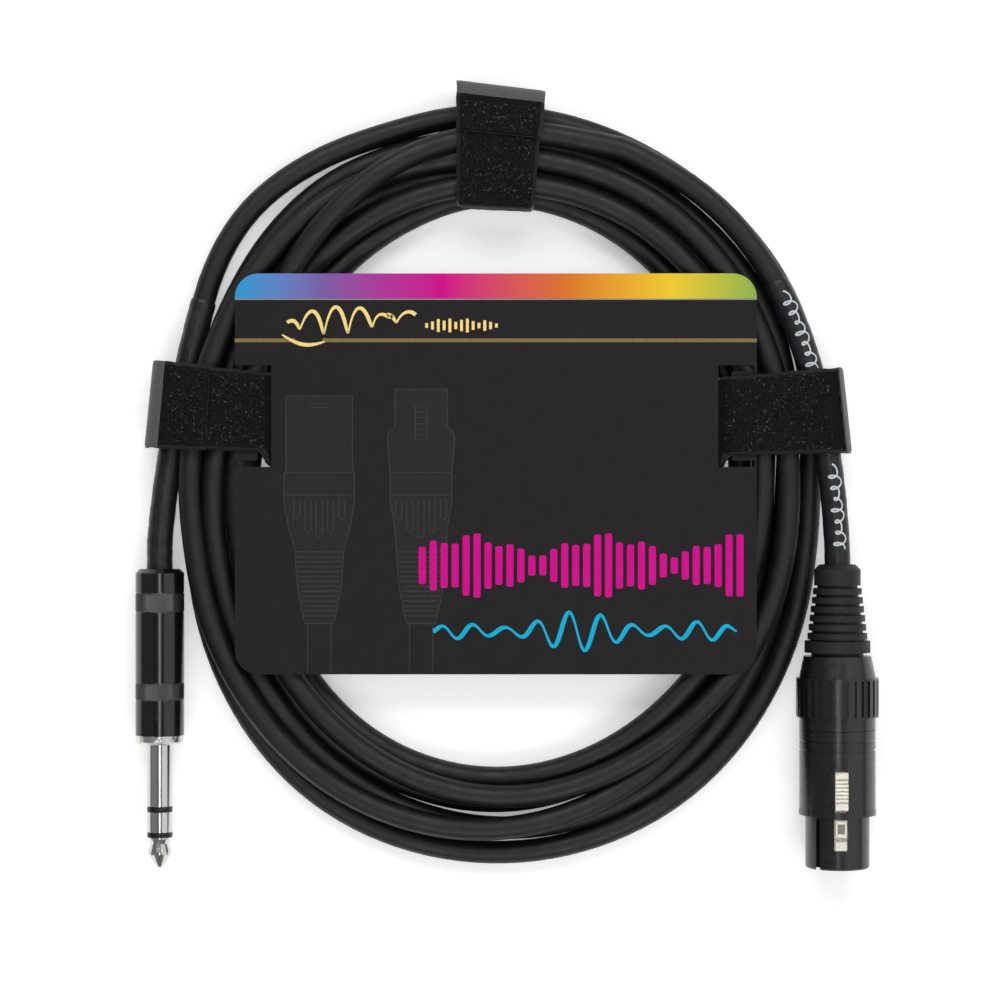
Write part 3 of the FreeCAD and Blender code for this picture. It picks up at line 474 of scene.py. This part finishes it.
SURFACES_OF_NODES = [
    (SHELL, "xlr_shell xlr_cap"),
    (RUBBER, "xlr_boot"),
    (INSULATOR, "xlr_chuck xlr_insert jack_liner jack_ring_insulator jack_tip_insulator jack_lug_washer"),
    (LATCH_STEEL, "xlr_latch"),
    (NICKEL, "xlr_latch_pin xlr_latch_spring jack_sleeve jack_ring_contact jack_tip jack_cable_clamp"),
    (BRASS, "xlr_contact_1 xlr_contact_2 xlr_contact_3 jack_tip_lug jack_ring_lug"),
    (BARREL, "jack_barrel"),
    (RIM, "jack_collar"),
    (wire_surface("red_core", (150, 22, 20)), "xlr_core_hot jack_core_tip"),
    (wire_surface("white_core", (205, 203, 196)), "xlr_core_cold jack_core_ring"),
    (COPPER, "xlr_shield_drain jack_shield_drain"),
    (CARD, "header_card"),
]


def dress(piece, surface):
    """Give a piece its material in every slot."""
    if not piece.data.materials:
        piece.data.materials.append(surface)
    for number in range(len(piece.data.materials)):
        piece.data.materials[number] = surface


for surface, nodes in SURFACES_OF_NODES:
    for node in nodes.split():
        dress(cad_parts[node], surface)
dress(cable, JACKET)


# ---- mesh helpers

def add_piece(name, data, surface, body):
    piece = bpy.data.objects.new(name, data)
    bpy.context.scene.collection.objects.link(piece)
    dress(piece, surface)
    if body:
        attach(piece, body)
    return piece


def mesh_piece(name, places, faces, surface, body, smooth=True):
    data = bpy.data.meshes.new(name)
    data.from_pydata([tuple(place) for place in places], [], faces)
    data.update()
    data.polygons.foreach_set("use_smooth", [smooth] * len(data.polygons))
    return add_piece(name, data, surface, body)


def frames_along(line):
    """Tangent, side and up at each point of a line, without twist."""
    frames = []
    up = Vector((0, 0, 1))
    for number, place in enumerate(line):
        ahead = line[min(number + 1, len(line) - 1)] - line[max(number - 1, 0)]
        ahead.normalize()
        side = ahead.cross(up).normalized()
        frames.append((ahead, side, side.cross(ahead).normalized()))
    return frames


def ring_faces(rings, around):
    """The faces of a tube made of that many rings of points, each with that many points round it."""
    return [(ring * around + spoke, ring * around + (spoke + 1) % around,
             (ring + 1) * around + (spoke + 1) % around, (ring + 1) * around + spoke)
            for ring in range(rings - 1) for spoke in range(around)]


def sleeve_mesh(name, line):
    """A heat-shrunk tube round a line, with rolled ends and its bore left open for the cable."""
    around, rolled = 28, 0.8 * MM
    lengths = reached_along(line)
    places = []
    for (_, side, up), place, reached in zip(frames_along(line), line, lengths):
        near_end = min(reached, lengths[-1] - reached) / rolled
        outer = SLEEVE_RADIUS - SLEEVE_WALL * max(0.0, 1.0 - near_end) ** 2
        outer += 0.03 * MM * math.sin(reached * 900) + 0.02 * MM * math.sin(reached * 2300)
        for spoke in range(around):
            angle = math.tau * spoke / around
            places.append(place + (side * math.cos(angle) + up * math.sin(angle)) * outer)
    return mesh_piece(name, places, ring_faces(len(line), around), SHRINK, "lead")


def finer(line, step):
    """The same line with points an even, short step apart."""
    reached = reached_along(line)
    marks = np.arange(0.0, reached[-1], step)
    return [Vector(tuple(np.interp(mark, reached, [p[axis] for p in line]) for axis in range(3)))
            for mark in marks]


# ---- details on the connectors

def bars(name, boxes, surface, body, bevel):
    """Small blocks with broken edges. Each is (lowest corner, highest corner)."""
    mesh = bmesh.new()
    for low, high in boxes:
        for vertex in bmesh.ops.create_cube(mesh, size=1.0)["verts"]:
            vertex.co = [(low[i] + high[i]) / 2 + vertex.co[i] * (high[i] - low[i]) for i in range(3)]
    bmesh.ops.bevel(mesh, geom=mesh.edges[:], offset=bevel, segments=2, affect="EDGES", profile=0.6)
    data = bpy.data.meshes.new(name)
    mesh.to_mesh(data)
    mesh.free()
    return add_piece(name, data, surface, body)


def make_latch_details():
    """Ribs on the thumb pad between two plain lands, and the rims of the hook and the stop, in a brighter copy of the
    latch's metal as a painted highlight, with a dark plate of painted shade inside the hook's rims.
    """
    low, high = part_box("xlr_latch")

    def slab(start, stop, half, lower, upper, aside=0.0):
        """A block, in millimetres from the latch's end, its middle and its top."""
        middle = (low.x + high.x) / 2 + aside * MM
        return ((middle - half * MM, low.y + start * MM, high.z + lower * MM),
                (middle + half * MM, low.y + stop * MM, high.z + upper * MM))

    pad_start, pad_stop, pad_half, pad_deck = 11.3, 20.8, 1.6, -0.05
    ribs = [slab(pad_stop - 1.5, pad_stop - 0.3, pad_half, pad_deck, 0.22),
            slab(pad_start + 0.2, pad_start + 1.6, pad_half, pad_deck, 0.22)]
    for number in range(6):
        rib = pad_start + 2.45 + 0.93 * number
        ribs.append(slab(rib - 0.2, rib + 0.2, pad_half, pad_deck, 0.2))
    hook_start, hook_stop, hook_half, rim = 4.6, 8.6, 1.4, (-1.5, -1.22)
    rims = [slab(hook_start, hook_start + 0.75, hook_half, *rim), slab(hook_stop - 0.75, hook_stop, hook_half, *rim),
            slab(hook_start + 0.5, hook_stop - 0.5, 0.25, *rim, aside=0.25 - hook_half),
            slab(hook_start + 0.5, hook_stop - 0.5, 0.25, *rim, aside=hook_half - 0.25),
            slab(1.35, 3.35, hook_half, *rim)]
    # A dark plate inside the hook's rims, where the real hook has only shade: painted shade.
    face = [slab(hook_start + 0.5, hook_stop - 0.5, hook_half - 0.3, -1.5, -1.37)]
    # The ribs and rims take the brighter copy of the latch's metal: a painted highlight.
    pieces = [bars("latch_ribs", ribs, LATCH_PAINTED_HIGHLIGHT, "latch", 0.07 * MM),
              bars("latch_rims", rims, LATCH_PAINTED_HIGHLIGHT, "latch", 0.07 * MM),
              bars("latch_hook_painted_shade_plate", face, LATCH_PAINTED_SHADE, "latch", 0.02 * MM)]
    return pieces


def knurl(name, start, end):
    """A band of diamond knurling round the jack's barrel, from start to end from its back, in millimetres."""
    low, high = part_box("jack_barrel")
    centre = Vector(((low.x + high.x) / 2, 0.0, (low.z + high.z) / 2))
    radius, relief, pitch, around = 6.0 * MM, 0.12 * MM, 0.38, 100
    rows = round((end - start) / pitch)
    places = []
    for row in range(rows + 1):
        y = high.y - (start + (end - start) * row / rows) * MM
        for spoke in range(around):
            angle = math.tau * spoke / around
            reach = radius + (relief if (row + spoke) % 2 and 0 < row < rows else 0.0)
            places.append(centre + Vector((reach * math.cos(angle), y, reach * math.sin(angle))))
    faces = [face[:1] + face[:0:-1] for face in ring_faces(rows + 1, around)]
    mesh_piece(name, places, faces, KNURL, "barrel", smooth=False)


latch_details = make_latch_details()
knurl("knurl_rear", 5.95, 10.85)
knurl("knurl_front", 28.55, 32.95)


# ---- heat-shrink sleeves

SLEEVE_WALL = 0.33 * MM
SLEEVE_RADIUS = CABLE_RADIUS + SLEEVE_WALL


def sleeved_stretch(line, low_y, high_y):
    """The line from its start until it first reaches high_y, without what is below low_y."""
    return finer([place for place in takewhile(lambda p: p.y < high_y, line) if place.y > low_y], 0.5 * MM)


def stroke_on_sleeve(name, line, path, width, surface):
    """A printed stroke on a sleeve. The path is (distance along, distance round) from the sleeve's top."""
    reached = reached_along(line)
    frames = frames_along(line)
    places, faces = [], []
    for number, (along, round_it) in enumerate(path):
        before, after = path[max(number - 1, 0)], path[min(number + 1, len(path) - 1)]
        slope = Vector((after[0] - before[0], after[1] - before[1])).normalized()
        for side_of in (-0.5, 0.5):
            s = along - slope.y * width * side_of
            q = round_it + slope.x * width * side_of
            spot = int(np.clip(np.searchsorted(reached, s), 0, len(line) - 1))
            ahead, side, up = frames[spot]
            angle = q / SLEEVE_RADIUS
            out = up * math.cos(angle) + side * math.sin(angle)
            places.append(line[spot] + ahead * (s - reached[spot]) + out * (SLEEVE_RADIUS + 0.05 * MM))
        if number:
            faces.append((2 * number - 2, 2 * number - 1, 2 * number + 1, 2 * number))
    return mesh_piece(name, places, faces, surface, "lead")


def make_sleeves():
    """A sleeve on each end of the cable, and a looped flourish twice along the XLR's."""
    jack_line = sleeved_stretch(CABLE_LINE, -26 * MM, 48.4 * MM)
    xlr_line = sleeved_stretch(CABLE_LINE[::-1], -29 * MM, 50.7 * MM)
    pieces = []
    for side, line in (("jack", jack_line), ("xlr", xlr_line)):
        sleeve = sleeve_mesh(side + "_sleeving", line)
        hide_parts(side + "_heat_shrink")
        pieces.append(sleeve)
    chalk = ink_surface("sleeve_print", (205, 210, 214), 0.5)
    steps, loops = 180, 46.0
    for number, (start, end) in enumerate(((10.5, 31.0), (56.0, 76.0)), start=1):
        path = []
        for share in (step / steps for step in range(steps + 1)):
            swing = 1.15 + 0.55 * math.sin(share * 17)
            path.append(((start + (end - start) * share + 0.9 * math.sin(share * loops)) * MM,
                         (0.5 + swing * math.cos(share * loops)) * MM))
        pieces.append(stroke_on_sleeve(f"sleeve_flourish_{number}", xlr_line, path, 0.42 * MM, chalk))
    return pieces


sleeves = make_sleeves()


# ---- straps

# The real straps aren't cut or closed quite square. For each: the way its outer side faces in degrees from +X, how far
# its outer end leans and its tape widens outward, its shift across, and how far its inner end leans to fit its slot.
STRAP_SHAPES = {
    "top": (87.0, 0.07, 0.055, 0.0, 0.0),
    "left": (176.0, 0.03, 0.03, 0.3 * MM, -0.07),
    "right": (3.0, -0.05, 0.045, 0.0, 0.052),
}
# In the card's slot, how much further inward the tape reaches, and the share that its lower edge is wider.
SLOT_REACH, SLOT_SPREAD = 1.1 * MM, 0.43
CORNER = 3.2 * MM
# Points on both sides of a flap's hinge lie this far from it.
HINGE_GAP = 1.1 * MM


class Strap:
    """A strap's own frame: u points out of the coil, v runs across the tape and w is up."""

    def __init__(self, side):
        low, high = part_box("strap_" + side)
        degrees, self.lean, self.taper, self.shift, self.slot_lean = STRAP_SHAPES[side]
        turn = math.radians(degrees)
        self.side = side
        self.middle = Vector(((low.x + high.x) / 2, (low.y + high.y) / 2, 0.0))
        self.out = Vector((math.cos(turn), math.sin(turn), 0.0))
        self.across = Vector((-math.sin(turn), math.cos(turn), 0.0))
        corners = [v.co - self.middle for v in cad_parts["strap_" + side].data.vertices]
        self.half = max(c.dot(self.out) for c in corners)
        self.root = self.half - CORNER
        self.half_width = max(c.dot(self.across) for c in corners)
        self.outer_top = max(c.z for c in corners if c.dot(self.out) > 0)
        self.inner_top = max(c.z for c in corners if c.dot(self.out) < -self.half + 4 * MM)

    def place(self, u, v, w):
        """The point of the tape that (u, v, w) of a square strap becomes."""
        share = (u + self.half) / (2 * self.half)
        if self.side != "top":
            below_top = min(1.0, max(0.0, (self.inner_top - 1.6 * MM - w) / MM))
            in_slot = max(0.0, 1.0 - share / 0.12) * below_top
            u -= SLOT_REACH * in_slot
            if v * self.across.y < 0.0:
                v *= 1.0 + SLOT_SPREAD * in_slot
        v = v * (1.0 + self.taper * (2 * share - 1.0)) + self.shift
        u += self.lean * v * share + self.slot_lean * v * (1.0 - share)
        return self.middle + self.out * u + self.across * v + Vector((0, 0, w))

    def corner_point(self, lift, angle):
        """The (u, w) that far round the outer top corner, in degrees up from the outer side."""
        reach, angle = CORNER + lift, math.radians(angle)
        return self.root + reach * math.cos(angle), self.outer_top - CORNER + reach * math.sin(angle)


def rounded_loop(half, inner_top, outer_top, corner, step):
    """A rectangle with rounded corners in (u, w), anticlockwise from the middle of the underside."""
    corners = [(half, 0.0, -90), (half, outer_top, 0), (-half, inner_top, 90), (-half, 0.0, 180)]
    loop = [(0.0, 0.0)]
    for u, w, start in corners:
        centre = (u - math.copysign(corner, u), corner if w == 0.0 else w - corner)
        for part in range(7):
            angle = math.radians(start + 15 * part)
            target = (centre[0] + corner * math.cos(angle), centre[1] + corner * math.sin(angle))
            last = loop[-1]
            pieces = max(1, round(math.hypot(target[0] - last[0], target[1] - last[1]) / step))
            for number in range(1, pieces + 1):
                loop.append((last[0] + (target[0] - last[0]) * number / pieces,
                             last[1] + (target[1] - last[1]) * number / pieces))
    last = loop[-1]
    pieces = max(2, round(abs(last[0]) / step))
    loop += [(last[0] * (1 - number / pieces), 0.0) for number in range(1, pieces)]
    return loop


def outward(path, number, closed):
    count = len(path)
    before = path[(number - 1) % count] if closed else path[max(number - 1, 0)]
    after = path[(number + 1) % count] if closed else path[min(number + 1, count - 1)]
    du, dw = after[0] - before[0], after[1] - before[1]
    size = math.hypot(du, dw) or 1.0
    return dw / size, -du / size


def tape(name, strap, path, thickness, body, closed=False, pile_from=0, half_width=None):
    """Tape that follows a path in (u, w) on its inner face: pile in the middle of its outer face from one row
    on, a smooth woven edge each side, and a woven back. A flap's smooth rows are the paler end of the tape."""
    columns = 26
    half_width = half_width or strap.half_width
    ring = 2 * columns
    places, faces, kinds = [], [], []
    for number, (u, w) in enumerate(path):
        nu, nw = outward(path, number, closed)
        pile = number >= pile_from
        full = thickness(number) if callable(thickness) else thickness
        for k in range(ring):
            outer = k < columns
            column = k if outer else ring - 1 - k
            share = 2 * column / (columns - 1) - 1.0
            width = half_width + 0.22 * MM * noise.noise(Vector((u * 420, w * 420, share * 2 + len(name))))
            v = share * width
            depth = (full if abs(share) < 0.99 else full * 0.6) if outer else 0.0
            if outer and abs(share) < 0.9 and pile:
                depth += 0.16 * MM * noise.noise(Vector((u, v, w)) * 900)
            elif outer:
                depth += 0.05 * MM * noise.noise(Vector((u, v, w)) * 700)
            places.append(strap.place(u + nu * depth, v, w + nw * depth))
    rows = len(path)
    for number in range(rows if closed else rows - 1):
        after = (number + 1) % rows
        for k in range(ring):
            ahead = (k + 1) % ring
            faces.append((number * ring + k, number * ring + ahead, after * ring + ahead, after * ring + k))
            inside = 1 <= k < columns - 2
            kinds.append((0 if inside else 1) if number >= pile_from else 2)
    if not closed:
        for start in (0, (rows - 1) * ring):
            for column in range(columns - 1):
                quad = (start + column, start + column + 1, start + ring - 2 - column, start + ring - 1 - column)
                faces.append(quad if start else quad[::-1])
                kinds.append(1)
    piece = mesh_piece(name, places, faces, PILE, body)
    piece.data.materials.append(BACKING)
    if pile_from:
        piece.data.materials.append(TAIL)
    piece.data.polygons.foreach_set("material_index", kinds)
    mesh = bmesh.new()
    mesh.from_mesh(piece.data)
    bmesh.ops.recalc_face_normals(mesh, faces=mesh.faces)
    mesh.to_mesh(piece.data)
    mesh.free()
    return piece


def loops_on(name, strap, spans, count, body, seed):
    """The loops of the pile, as fine arched ribbons. Each span is (start, end, lift), two points of (u, w)."""
    chance = np.random.default_rng(seed)
    places, faces, kinds = [], [], []
    lengths = [math.hypot(b[0] - a[0], b[1] - a[1]) for a, b, _ in spans]
    for _ in range(count):
        span = spans[chance.choice(len(spans), p=np.array(lengths) / sum(lengths))]
        (ua, wa), (ub, wb), lift = span
        size = math.hypot(ub - ua, wb - wa)
        tu, tw = (ub - ua) / size, (wb - wa) / size
        s, v = chance.uniform(0.02, 0.98) * size, chance.uniform(-0.9, 0.9) * strap.half_width
        turn = chance.uniform(0, math.tau)
        reach, high = chance.uniform(0.35, 0.8) * MM, chance.uniform(0.2, 0.6) * MM
        # A few loops are pale and wider: painted glints, on top of their real gloss.
        painted_glint = chance.random() < 0.035
        width = (0.17 if painted_glint else 0.085) * MM
        start = len(places)
        for step, rise in enumerate((0.0, 0.75, 1.0, 0.75, 0.0)):
            along = (step / 4 - 0.5) * reach
            for side_of in (-0.5, 0.5):
                ds = along * math.cos(turn) - side_of * width * math.sin(turn)
                dv = along * math.sin(turn) + side_of * width * math.cos(turn)
                u = ua + tu * (s + ds) + tw * (lift + high * rise)
                w = wa + tw * (s + ds) - tu * (lift + high * rise)
                places.append(strap.place(u, v + dv, w))
        for step in range(4):
            a = start + 2 * step
            faces.append((a, a + 1, a + 3, a + 2))
            kinds.append(1 if painted_glint else 0)
    piece = mesh_piece(name, places, faces, LOOP, body, smooth=True)
    piece.data.materials.append(LOOP_PAINTED_GLINT)
    piece.data.polygons.foreach_set("material_index", kinds)
    return piece


def flap_down_the_side(strap, length):
    """The right strap's flap, which closes down its outer side, and where its fold starts and ends."""
    fold = strap.outer_top - CORNER
    path = [(strap.half + 0.1 * MM, w) for w in np.linspace(fold - length, fold, 14)]
    path += [strap.corner_point(0.1 * MM, angle) for angle in range(8, 49, 8)]
    flap = tape("strap_right_flap", strap, path, lambda row: 0.8 * MM if row < 14 else 0.45 * MM, None, pile_from=99)
    return flap, strap.place(strap.half, 0.0, fold + HINGE_GAP), strap.place(strap.half, 0.0, fold - HINGE_GAP)


def flap_over_the_top(strap, length):
    """The other straps' flap, which comes up the outer side and closes over the top, and its fold."""
    root, top = strap.root, strap.outer_top
    path = [(strap.half + 0.04 * MM, w) for w in np.linspace(4.2 * MM, top - CORNER, 7)[:-1]]
    path += [strap.corner_point(0.04 * MM, angle) for angle in range(0, 91, 10)]
    path += [(root - share * length, top + 0.12 * MM) for share in np.linspace(0.05, 1.0, 15)]
    flap = tape(f"strap_{strap.side}_flap", strap, path, lambda row: (0.35 + 0.04 * max(0, min(13, row - 6))) * MM,
                None, pile_from=15, half_width=strap.half_width + 0.35 * MM)
    return flap, strap.place(root + HINGE_GAP, 0.0, top), strap.place(root - HINGE_GAP, 0.0, top)


def make_strap(side, tab_length, seed):
    """A strap's loop of tape, its closing flap and the loops of its pile."""
    strap = Strap(side)
    half, root, top_in, top_out = strap.half, strap.root, strap.inner_top, strap.outer_top
    inner = rounded_loop(half - TAPE, top_in - 2 * TAPE, top_out - 2 * TAPE, CORNER - TAPE, 0.9 * MM)
    inner = [(u, w + TAPE) for u, w in inner]
    band = tape(f"strap_{side}_tape", strap, inner, TAPE, "lead", closed=True)
    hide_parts(f"strap_{side}")
    tab_body = f"{side}_tab"
    if side == "right":
        flap, start, end = flap_down_the_side(strap, tab_length)
        pile_front, pile_count, tab_loops = root, 3600, []
    else:
        flap, start, end = flap_over_the_top(strap, tab_length)
        pile_front, pile_count, on_tab = root - tab_length, 2400, top_out + 0.95 * MM
        span = (root - HINGE_GAP - 0.3 * MM, on_tab), (pile_front + 0.4 * MM, on_tab), 0.05 * MM
        tab_loops = [loops_on(f"strap_{side}_flap_loops", strap, [span], 1300, tab_body, seed + 1)]
    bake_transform(flap)
    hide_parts(f"strap_{side}_tab")
    own_loops = loops_on(f"strap_{side}_loops", strap,
                         [((pile_front, top_out), (-root, top_in), 0.05 * MM),
                          ((-root, top_in), (-half + 0.9 * MM, top_in - 0.9 * MM), 0.1 * MM)],
                         pile_count, "lead", seed)


make_strap("top", 9.0 * MM, 11)
make_strap("left", 11.5 * MM, 23)
make_strap("right", 8.0 * MM, 37)


# ---- print on the card

CARD_LOW, CARD_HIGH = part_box("header_card")
INK_LIFT = 0.04 * MM


class Print:
    """Flat ink on the card, gathered into one piece for each colour. Layers keep inks apart."""

    def __init__(self, name, surface, layer=0):
        self.name, self.surface = name, surface
        self.height = CARD_HIGH.z + INK_LIFT * (1 + layer)
        self.places, self.faces = [], []

    def area(self, corners):
        start = len(self.places)
        self.places += [(x * MM, y * MM, self.height) for x, y in corners]
        self.faces.append(tuple(range(start, len(self.places))))

    def bar(self, x, y, width, height, cut=0.0):
        """A bar about its middle, with its corners cut or rounded."""
        a, b = width / 2, height / 2
        if not cut:
            self.area([(x - a, y - b), (x + a, y - b), (x + a, y + b), (x - a, y + b)])
            return
        corners = []
        for sx, sy, start in ((1, -1, -90), (1, 1, 0), (-1, 1, 90), (-1, -1, 180)):
            for part in range(5):
                angle = math.radians(start + 22.5 * part)
                corners.append((x + sx * (a - cut) + cut * math.cos(angle),
                                y + sy * (b - cut) + cut * math.sin(angle)))
        self.area(corners)

    def stroke(self, points, width, closed=False):
        """A line of that width, or of the widths given for its points."""
        count = len(points)
        widths = width if isinstance(width, (list, tuple)) else [width] * count
        start = len(self.places)
        for number, (x, y) in enumerate(points):
            if closed:
                before, after = points[(number - 1) % count], points[(number + 1) % count]
            else:
                before, after = points[max(number - 1, 0)], points[min(number + 1, count - 1)]
            into = (x - before[0], y - before[1])
            out = (after[0] - x, after[1] - y)
            dx, dy = after[0] - before[0], after[1] - before[1]
            size = math.hypot(dx, dy) or 1.0
            bend = 1.0
            if math.hypot(*into) and math.hypot(*out):
                cosine = (into[0] * out[0] + into[1] * out[1]) / (math.hypot(*into) * math.hypot(*out))
                bend = 1.0 / max(0.5, math.sqrt(max(0.0, (1 + cosine) / 2)))
            reach = widths[number] / 2 * bend
            self.places.append(((x - dy / size * reach) * MM, (y + dx / size * reach) * MM, self.height))
            self.places.append(((x + dy / size * reach) * MM, (y - dx / size * reach) * MM, self.height))
        for number in range(count if closed else count - 1):
            a, b = start + 2 * number, start + 2 * ((number + 1) % count)
            self.faces.append((a, a + 1, b + 1, b))

    def done(self):
        piece = mesh_piece(self.name, self.places, self.faces, self.surface, "lead", smooth=False)
        return piece


def print_header():
    """The colour band along the top edge, and the gold rule with a flourish and level bars over it."""
    left, right, top = CARD_LOW.x / MM, CARD_HIGH.x / MM, CARD_HIGH.y / MM
    corner, deep = 6.0, 6.3
    band = Print("print_rainbow", rainbow_surface(CARD_LOW.x, CARD_HIGH.x))

    def top_edge(x):
        inset = max(0.0, corner - (x - left), corner - (right - x))
        return top - (corner - math.sqrt(max(0.0, corner ** 2 - inset ** 2)))

    across = [left + (right - left) * number / 60 for number in range(61)]
    rounding = [corner * (1 - math.cos(math.radians(angle))) for angle in range(0, 90, 8)]
    across += [left + inset for inset in rounding] + [right - inset for inset in rounding]
    columns = sorted((x, top_edge(x)) for x in across)
    for (xa, ya), (xb, yb) in zip(columns, columns[1:]):
        band.area([(xa, top - deep), (xb, top - deep), (xb, yb), (xa, ya)])
    band.done()
    rule = Print("print_hairline", ink_surface("hairline_ink", (150, 148, 150)), 0)
    rule.stroke([(left, top - deep - 0.16), (right, top - deep - 0.16)], 0.28)
    rule.done()
    gold = Print("print_gold", ink_surface("gold_ink", (132, 115, 70), 0.35), 0)
    gold.stroke([(left, 34.2), (-52.6, 34.2)], 0.95)
    gold.stroke([(-45.8, 34.2), (right, 34.2)], 0.95)
    gold.done()
    cream = Print("print_cream", ink_surface("cream_ink", (254, 222, 140), 0.4), 1)
    points, widths = [], []
    for number in range(241):
        share = number / 240
        swell = math.sin(math.pi * min(1.0, share * 1.25)) ** 0.7 if share < 0.8 else 0.35 + 0.2 * (1 - share)
        phase = math.tau * 5.2 * share
        points.append((-54.6 + 31.5 * share + 0.6 * math.sin(phase),
                       38.6 + 1.6 * share + 3.3 * swell * math.cos(phase)))
        widths.append(0.45 + 0.5 * (0.5 + 0.5 * math.sin(phase + 0.6)))
    cream.stroke(points, widths)
    tail = [number / 20 for number in range(21)]
    cream.stroke([(-55.9 + 10.7 * share, 35.6 - 1.7 * share - 1.6 * math.sin(math.pi * share)) for share in tail],
                 [0.35 + 0.6 * math.sin(math.pi * share) for share in tail])
    for number, height in enumerate((1.2, 2.0, 3.2, 2.4, 3.4, 1.8, 2.8, 3.4, 2.2, 1.4, 2.6, 1.8, 1.0)):
        cream.bar(-19.8 + 1.45 * number, 37.9, 0.72, height)
    cream.done()


def print_sound():
    """A magenta level meter and a cyan wave under it."""
    magenta = Print("print_magenta", ink_surface("magenta_ink", (214, 2, 142)), 2)
    count = 30
    for number in range(count):
        share = number / (count - 1)
        height = 4.0 + 12.6 * abs(math.sin(7.3 * share + 0.5)) * (0.55 + 0.45 * math.sin(23 * share + 1.0) ** 2)
        magenta.bar(-20.9 + 2.735 * number, -22.0, 1.75, height, 0.5)
    magenta.done()
    cyan = Print("print_cyan", ink_surface("cyan_ink", (22, 176, 216)), 2)
    points, widths = [], []
    for number in range(361):
        share = number / 360
        swing = 4.9 * (math.sin(math.pi * share) ** 0.55) * (0.62 + 0.38 * math.cos(math.tau * 2.1 * share))
        points.append((-18.2 + 75.8 * share, -38.4 + swing * math.sin(math.tau * 9.5 * share)))
        widths.append(0.85 + 0.3 * math.cos(math.tau * 9.5 * share))
    cyan.stroke(points, widths)
    cyan.done()


def print_connectors():
    """Two plain connector outlines, with cables that run off the card's lower edge."""
    shade = Print("print_connector_fill", ink_surface("connector_fill_ink", (47, 45, 46)), 0)
    line = Print("print_connector_line", ink_surface("connector_line_ink", (64, 62, 63)), 1)
    bottom = CARD_LOW.y / MM + 0.5

    def draw(middle, points, width, closed=False):
        line.stroke([(middle + x, y) for x, y in points], width, closed)

    for middle, wide, female in ((-46.6, 8.3, False), (-21.2, 7.2, True)):
        nose = [(-6.6, 22.0), (-6.6, 12.6), (-7.9, 11.6), (-8.4, 10.0)] if female else [(-wide, 20.3), (-wide, 2.0)]
        body = nose + [(-wide - 0.5, 1.0), (-wide - 0.5, -6.0), (-wide + 0.6, -12.5), (-6.2, -17.5), (-5.4, -28.0),
                       (-4.3, -33.5), (-3.6, -36.5)]
        for (xa, ya), (xb, yb) in zip(body, body[1:]):
            shade.area([(middle + xa, ya), (middle + xb, yb), (middle - xb, yb), (middle - xa, ya)])
        outline = body + [(-x, y) for x, y in reversed(body)]
        draw(middle, outline + outline[:1], 0.26)
        for x in (-2.9, 2.9):
            draw(middle, [(x, -36.5), (x, bottom)], 0.26)
        for y in (-4.4, 1.2):
            draw(middle, [(-wide - 0.4, y), (wide + 0.4, y)], 0.22)
        for rib in range(7):
            y, half = -18.6 - 2.45 * rib, 6.0 - 0.32 * rib
            draw(middle, [(-half, y), (half, y), (half - 0.2, y - 1.3), (0.2 - half, y - 1.3)], 0.2, closed=True)
        for number, deep in enumerate((5.0, 8.2, 9.6, 8.2, 5.0)):
            x, tip = -5.6 + 2.8 * number, -5.6 - deep
            draw(middle, [(x - 0.75, -5.6), (x - 0.75, tip + 0.7), (x, tip), (x + 0.75, tip + 0.7), (x + 0.75, -5.6)],
                 0.2, closed=True)
        if female:
            draw(middle, [(-1.5, 17.6), (1.5, 17.6), (1.5, 9.4), (-1.5, 9.4)], 0.24, closed=True)
            for rib in range(5):
                draw(middle, [(-1.1, 16.2 - 1.4 * rib), (1.1, 16.2 - 1.4 * rib)], 0.22)
        else:
            draw(middle, [(-2.6, 18.3), (2.6, 18.3)], 0.22)
            draw(middle, [(-2.2, 17.5), (2.2, 17.5)], 0.22)
    shade.done()
    line.done()


print_header()
print_sound()
print_connectors()


# ---- floor and light

def area_light(name, place, target, size, power):
    data = bpy.data.lights.new(name, "AREA")
    data.shape = "RECTANGLE"
    data.size, data.size_y = size
    data.energy = power
    light = bpy.data.objects.new(name, data)
    light.location = place
    light.rotation_euler = (Vector(target) - Vector(place)).to_track_quat("-Z", "Y").to_euler()
    bpy.context.scene.collection.objects.link(light)


def make_floor():
    paper = Surface("studio_paper", (0.9, 0.9, 0.9, 1.0), 0.7, specular=0.2)
    paper.shader.inputs["Emission Color"].default_value = (1.0, 1.0, 1.0, 1.0)
    paper.shader.inputs["Emission Strength"].default_value = 0.33
    size = 1.6
    corners = [(-size, -size, 0), (size, -size, 0), (size, size, 0), (-size, size, 0)]
    floor = mesh_piece("studio_floor", corners, [(0, 1, 2, 3)], paper.material, None, smooth=False)
    floor.location.z = CAD_BOX[0][2] - 0.2 * MM


def make_light():
    world = bpy.data.worlds.new("studio")
    world.use_nodes = True
    world.node_tree.nodes["Background"].inputs["Color"].default_value = (1.0, 1.0, 1.0, 1.0)
    world.node_tree.nodes["Background"].inputs["Strength"].default_value = 0.15
    bpy.context.scene.world = world
    area_light("back_box", (0.0, 0.85, 1.0), (0, 0, 0), (1.5, 0.5), 10.0)
    area_light("front_box", (0.0, -0.85, 1.0), (0, 0, 0), (1.5, 0.5), 7.5)
    area_light("right_box", (0.9, 0.0, 0.75), (0.05, 0, 0), (1.1, 1.2), 3.2)
    area_light("left_box", (-1.0, 0.0, 0.80), (0, 0, 0), (0.8, 1.2), 0.3)
    area_light("over_strip", (0.02, 0.0, 1.0), (0.02, 0, 0), (0.15, 0.45), 0.9)
    bpy.context.scene.view_settings.view_transform = "Standard"


make_floor()
make_light()
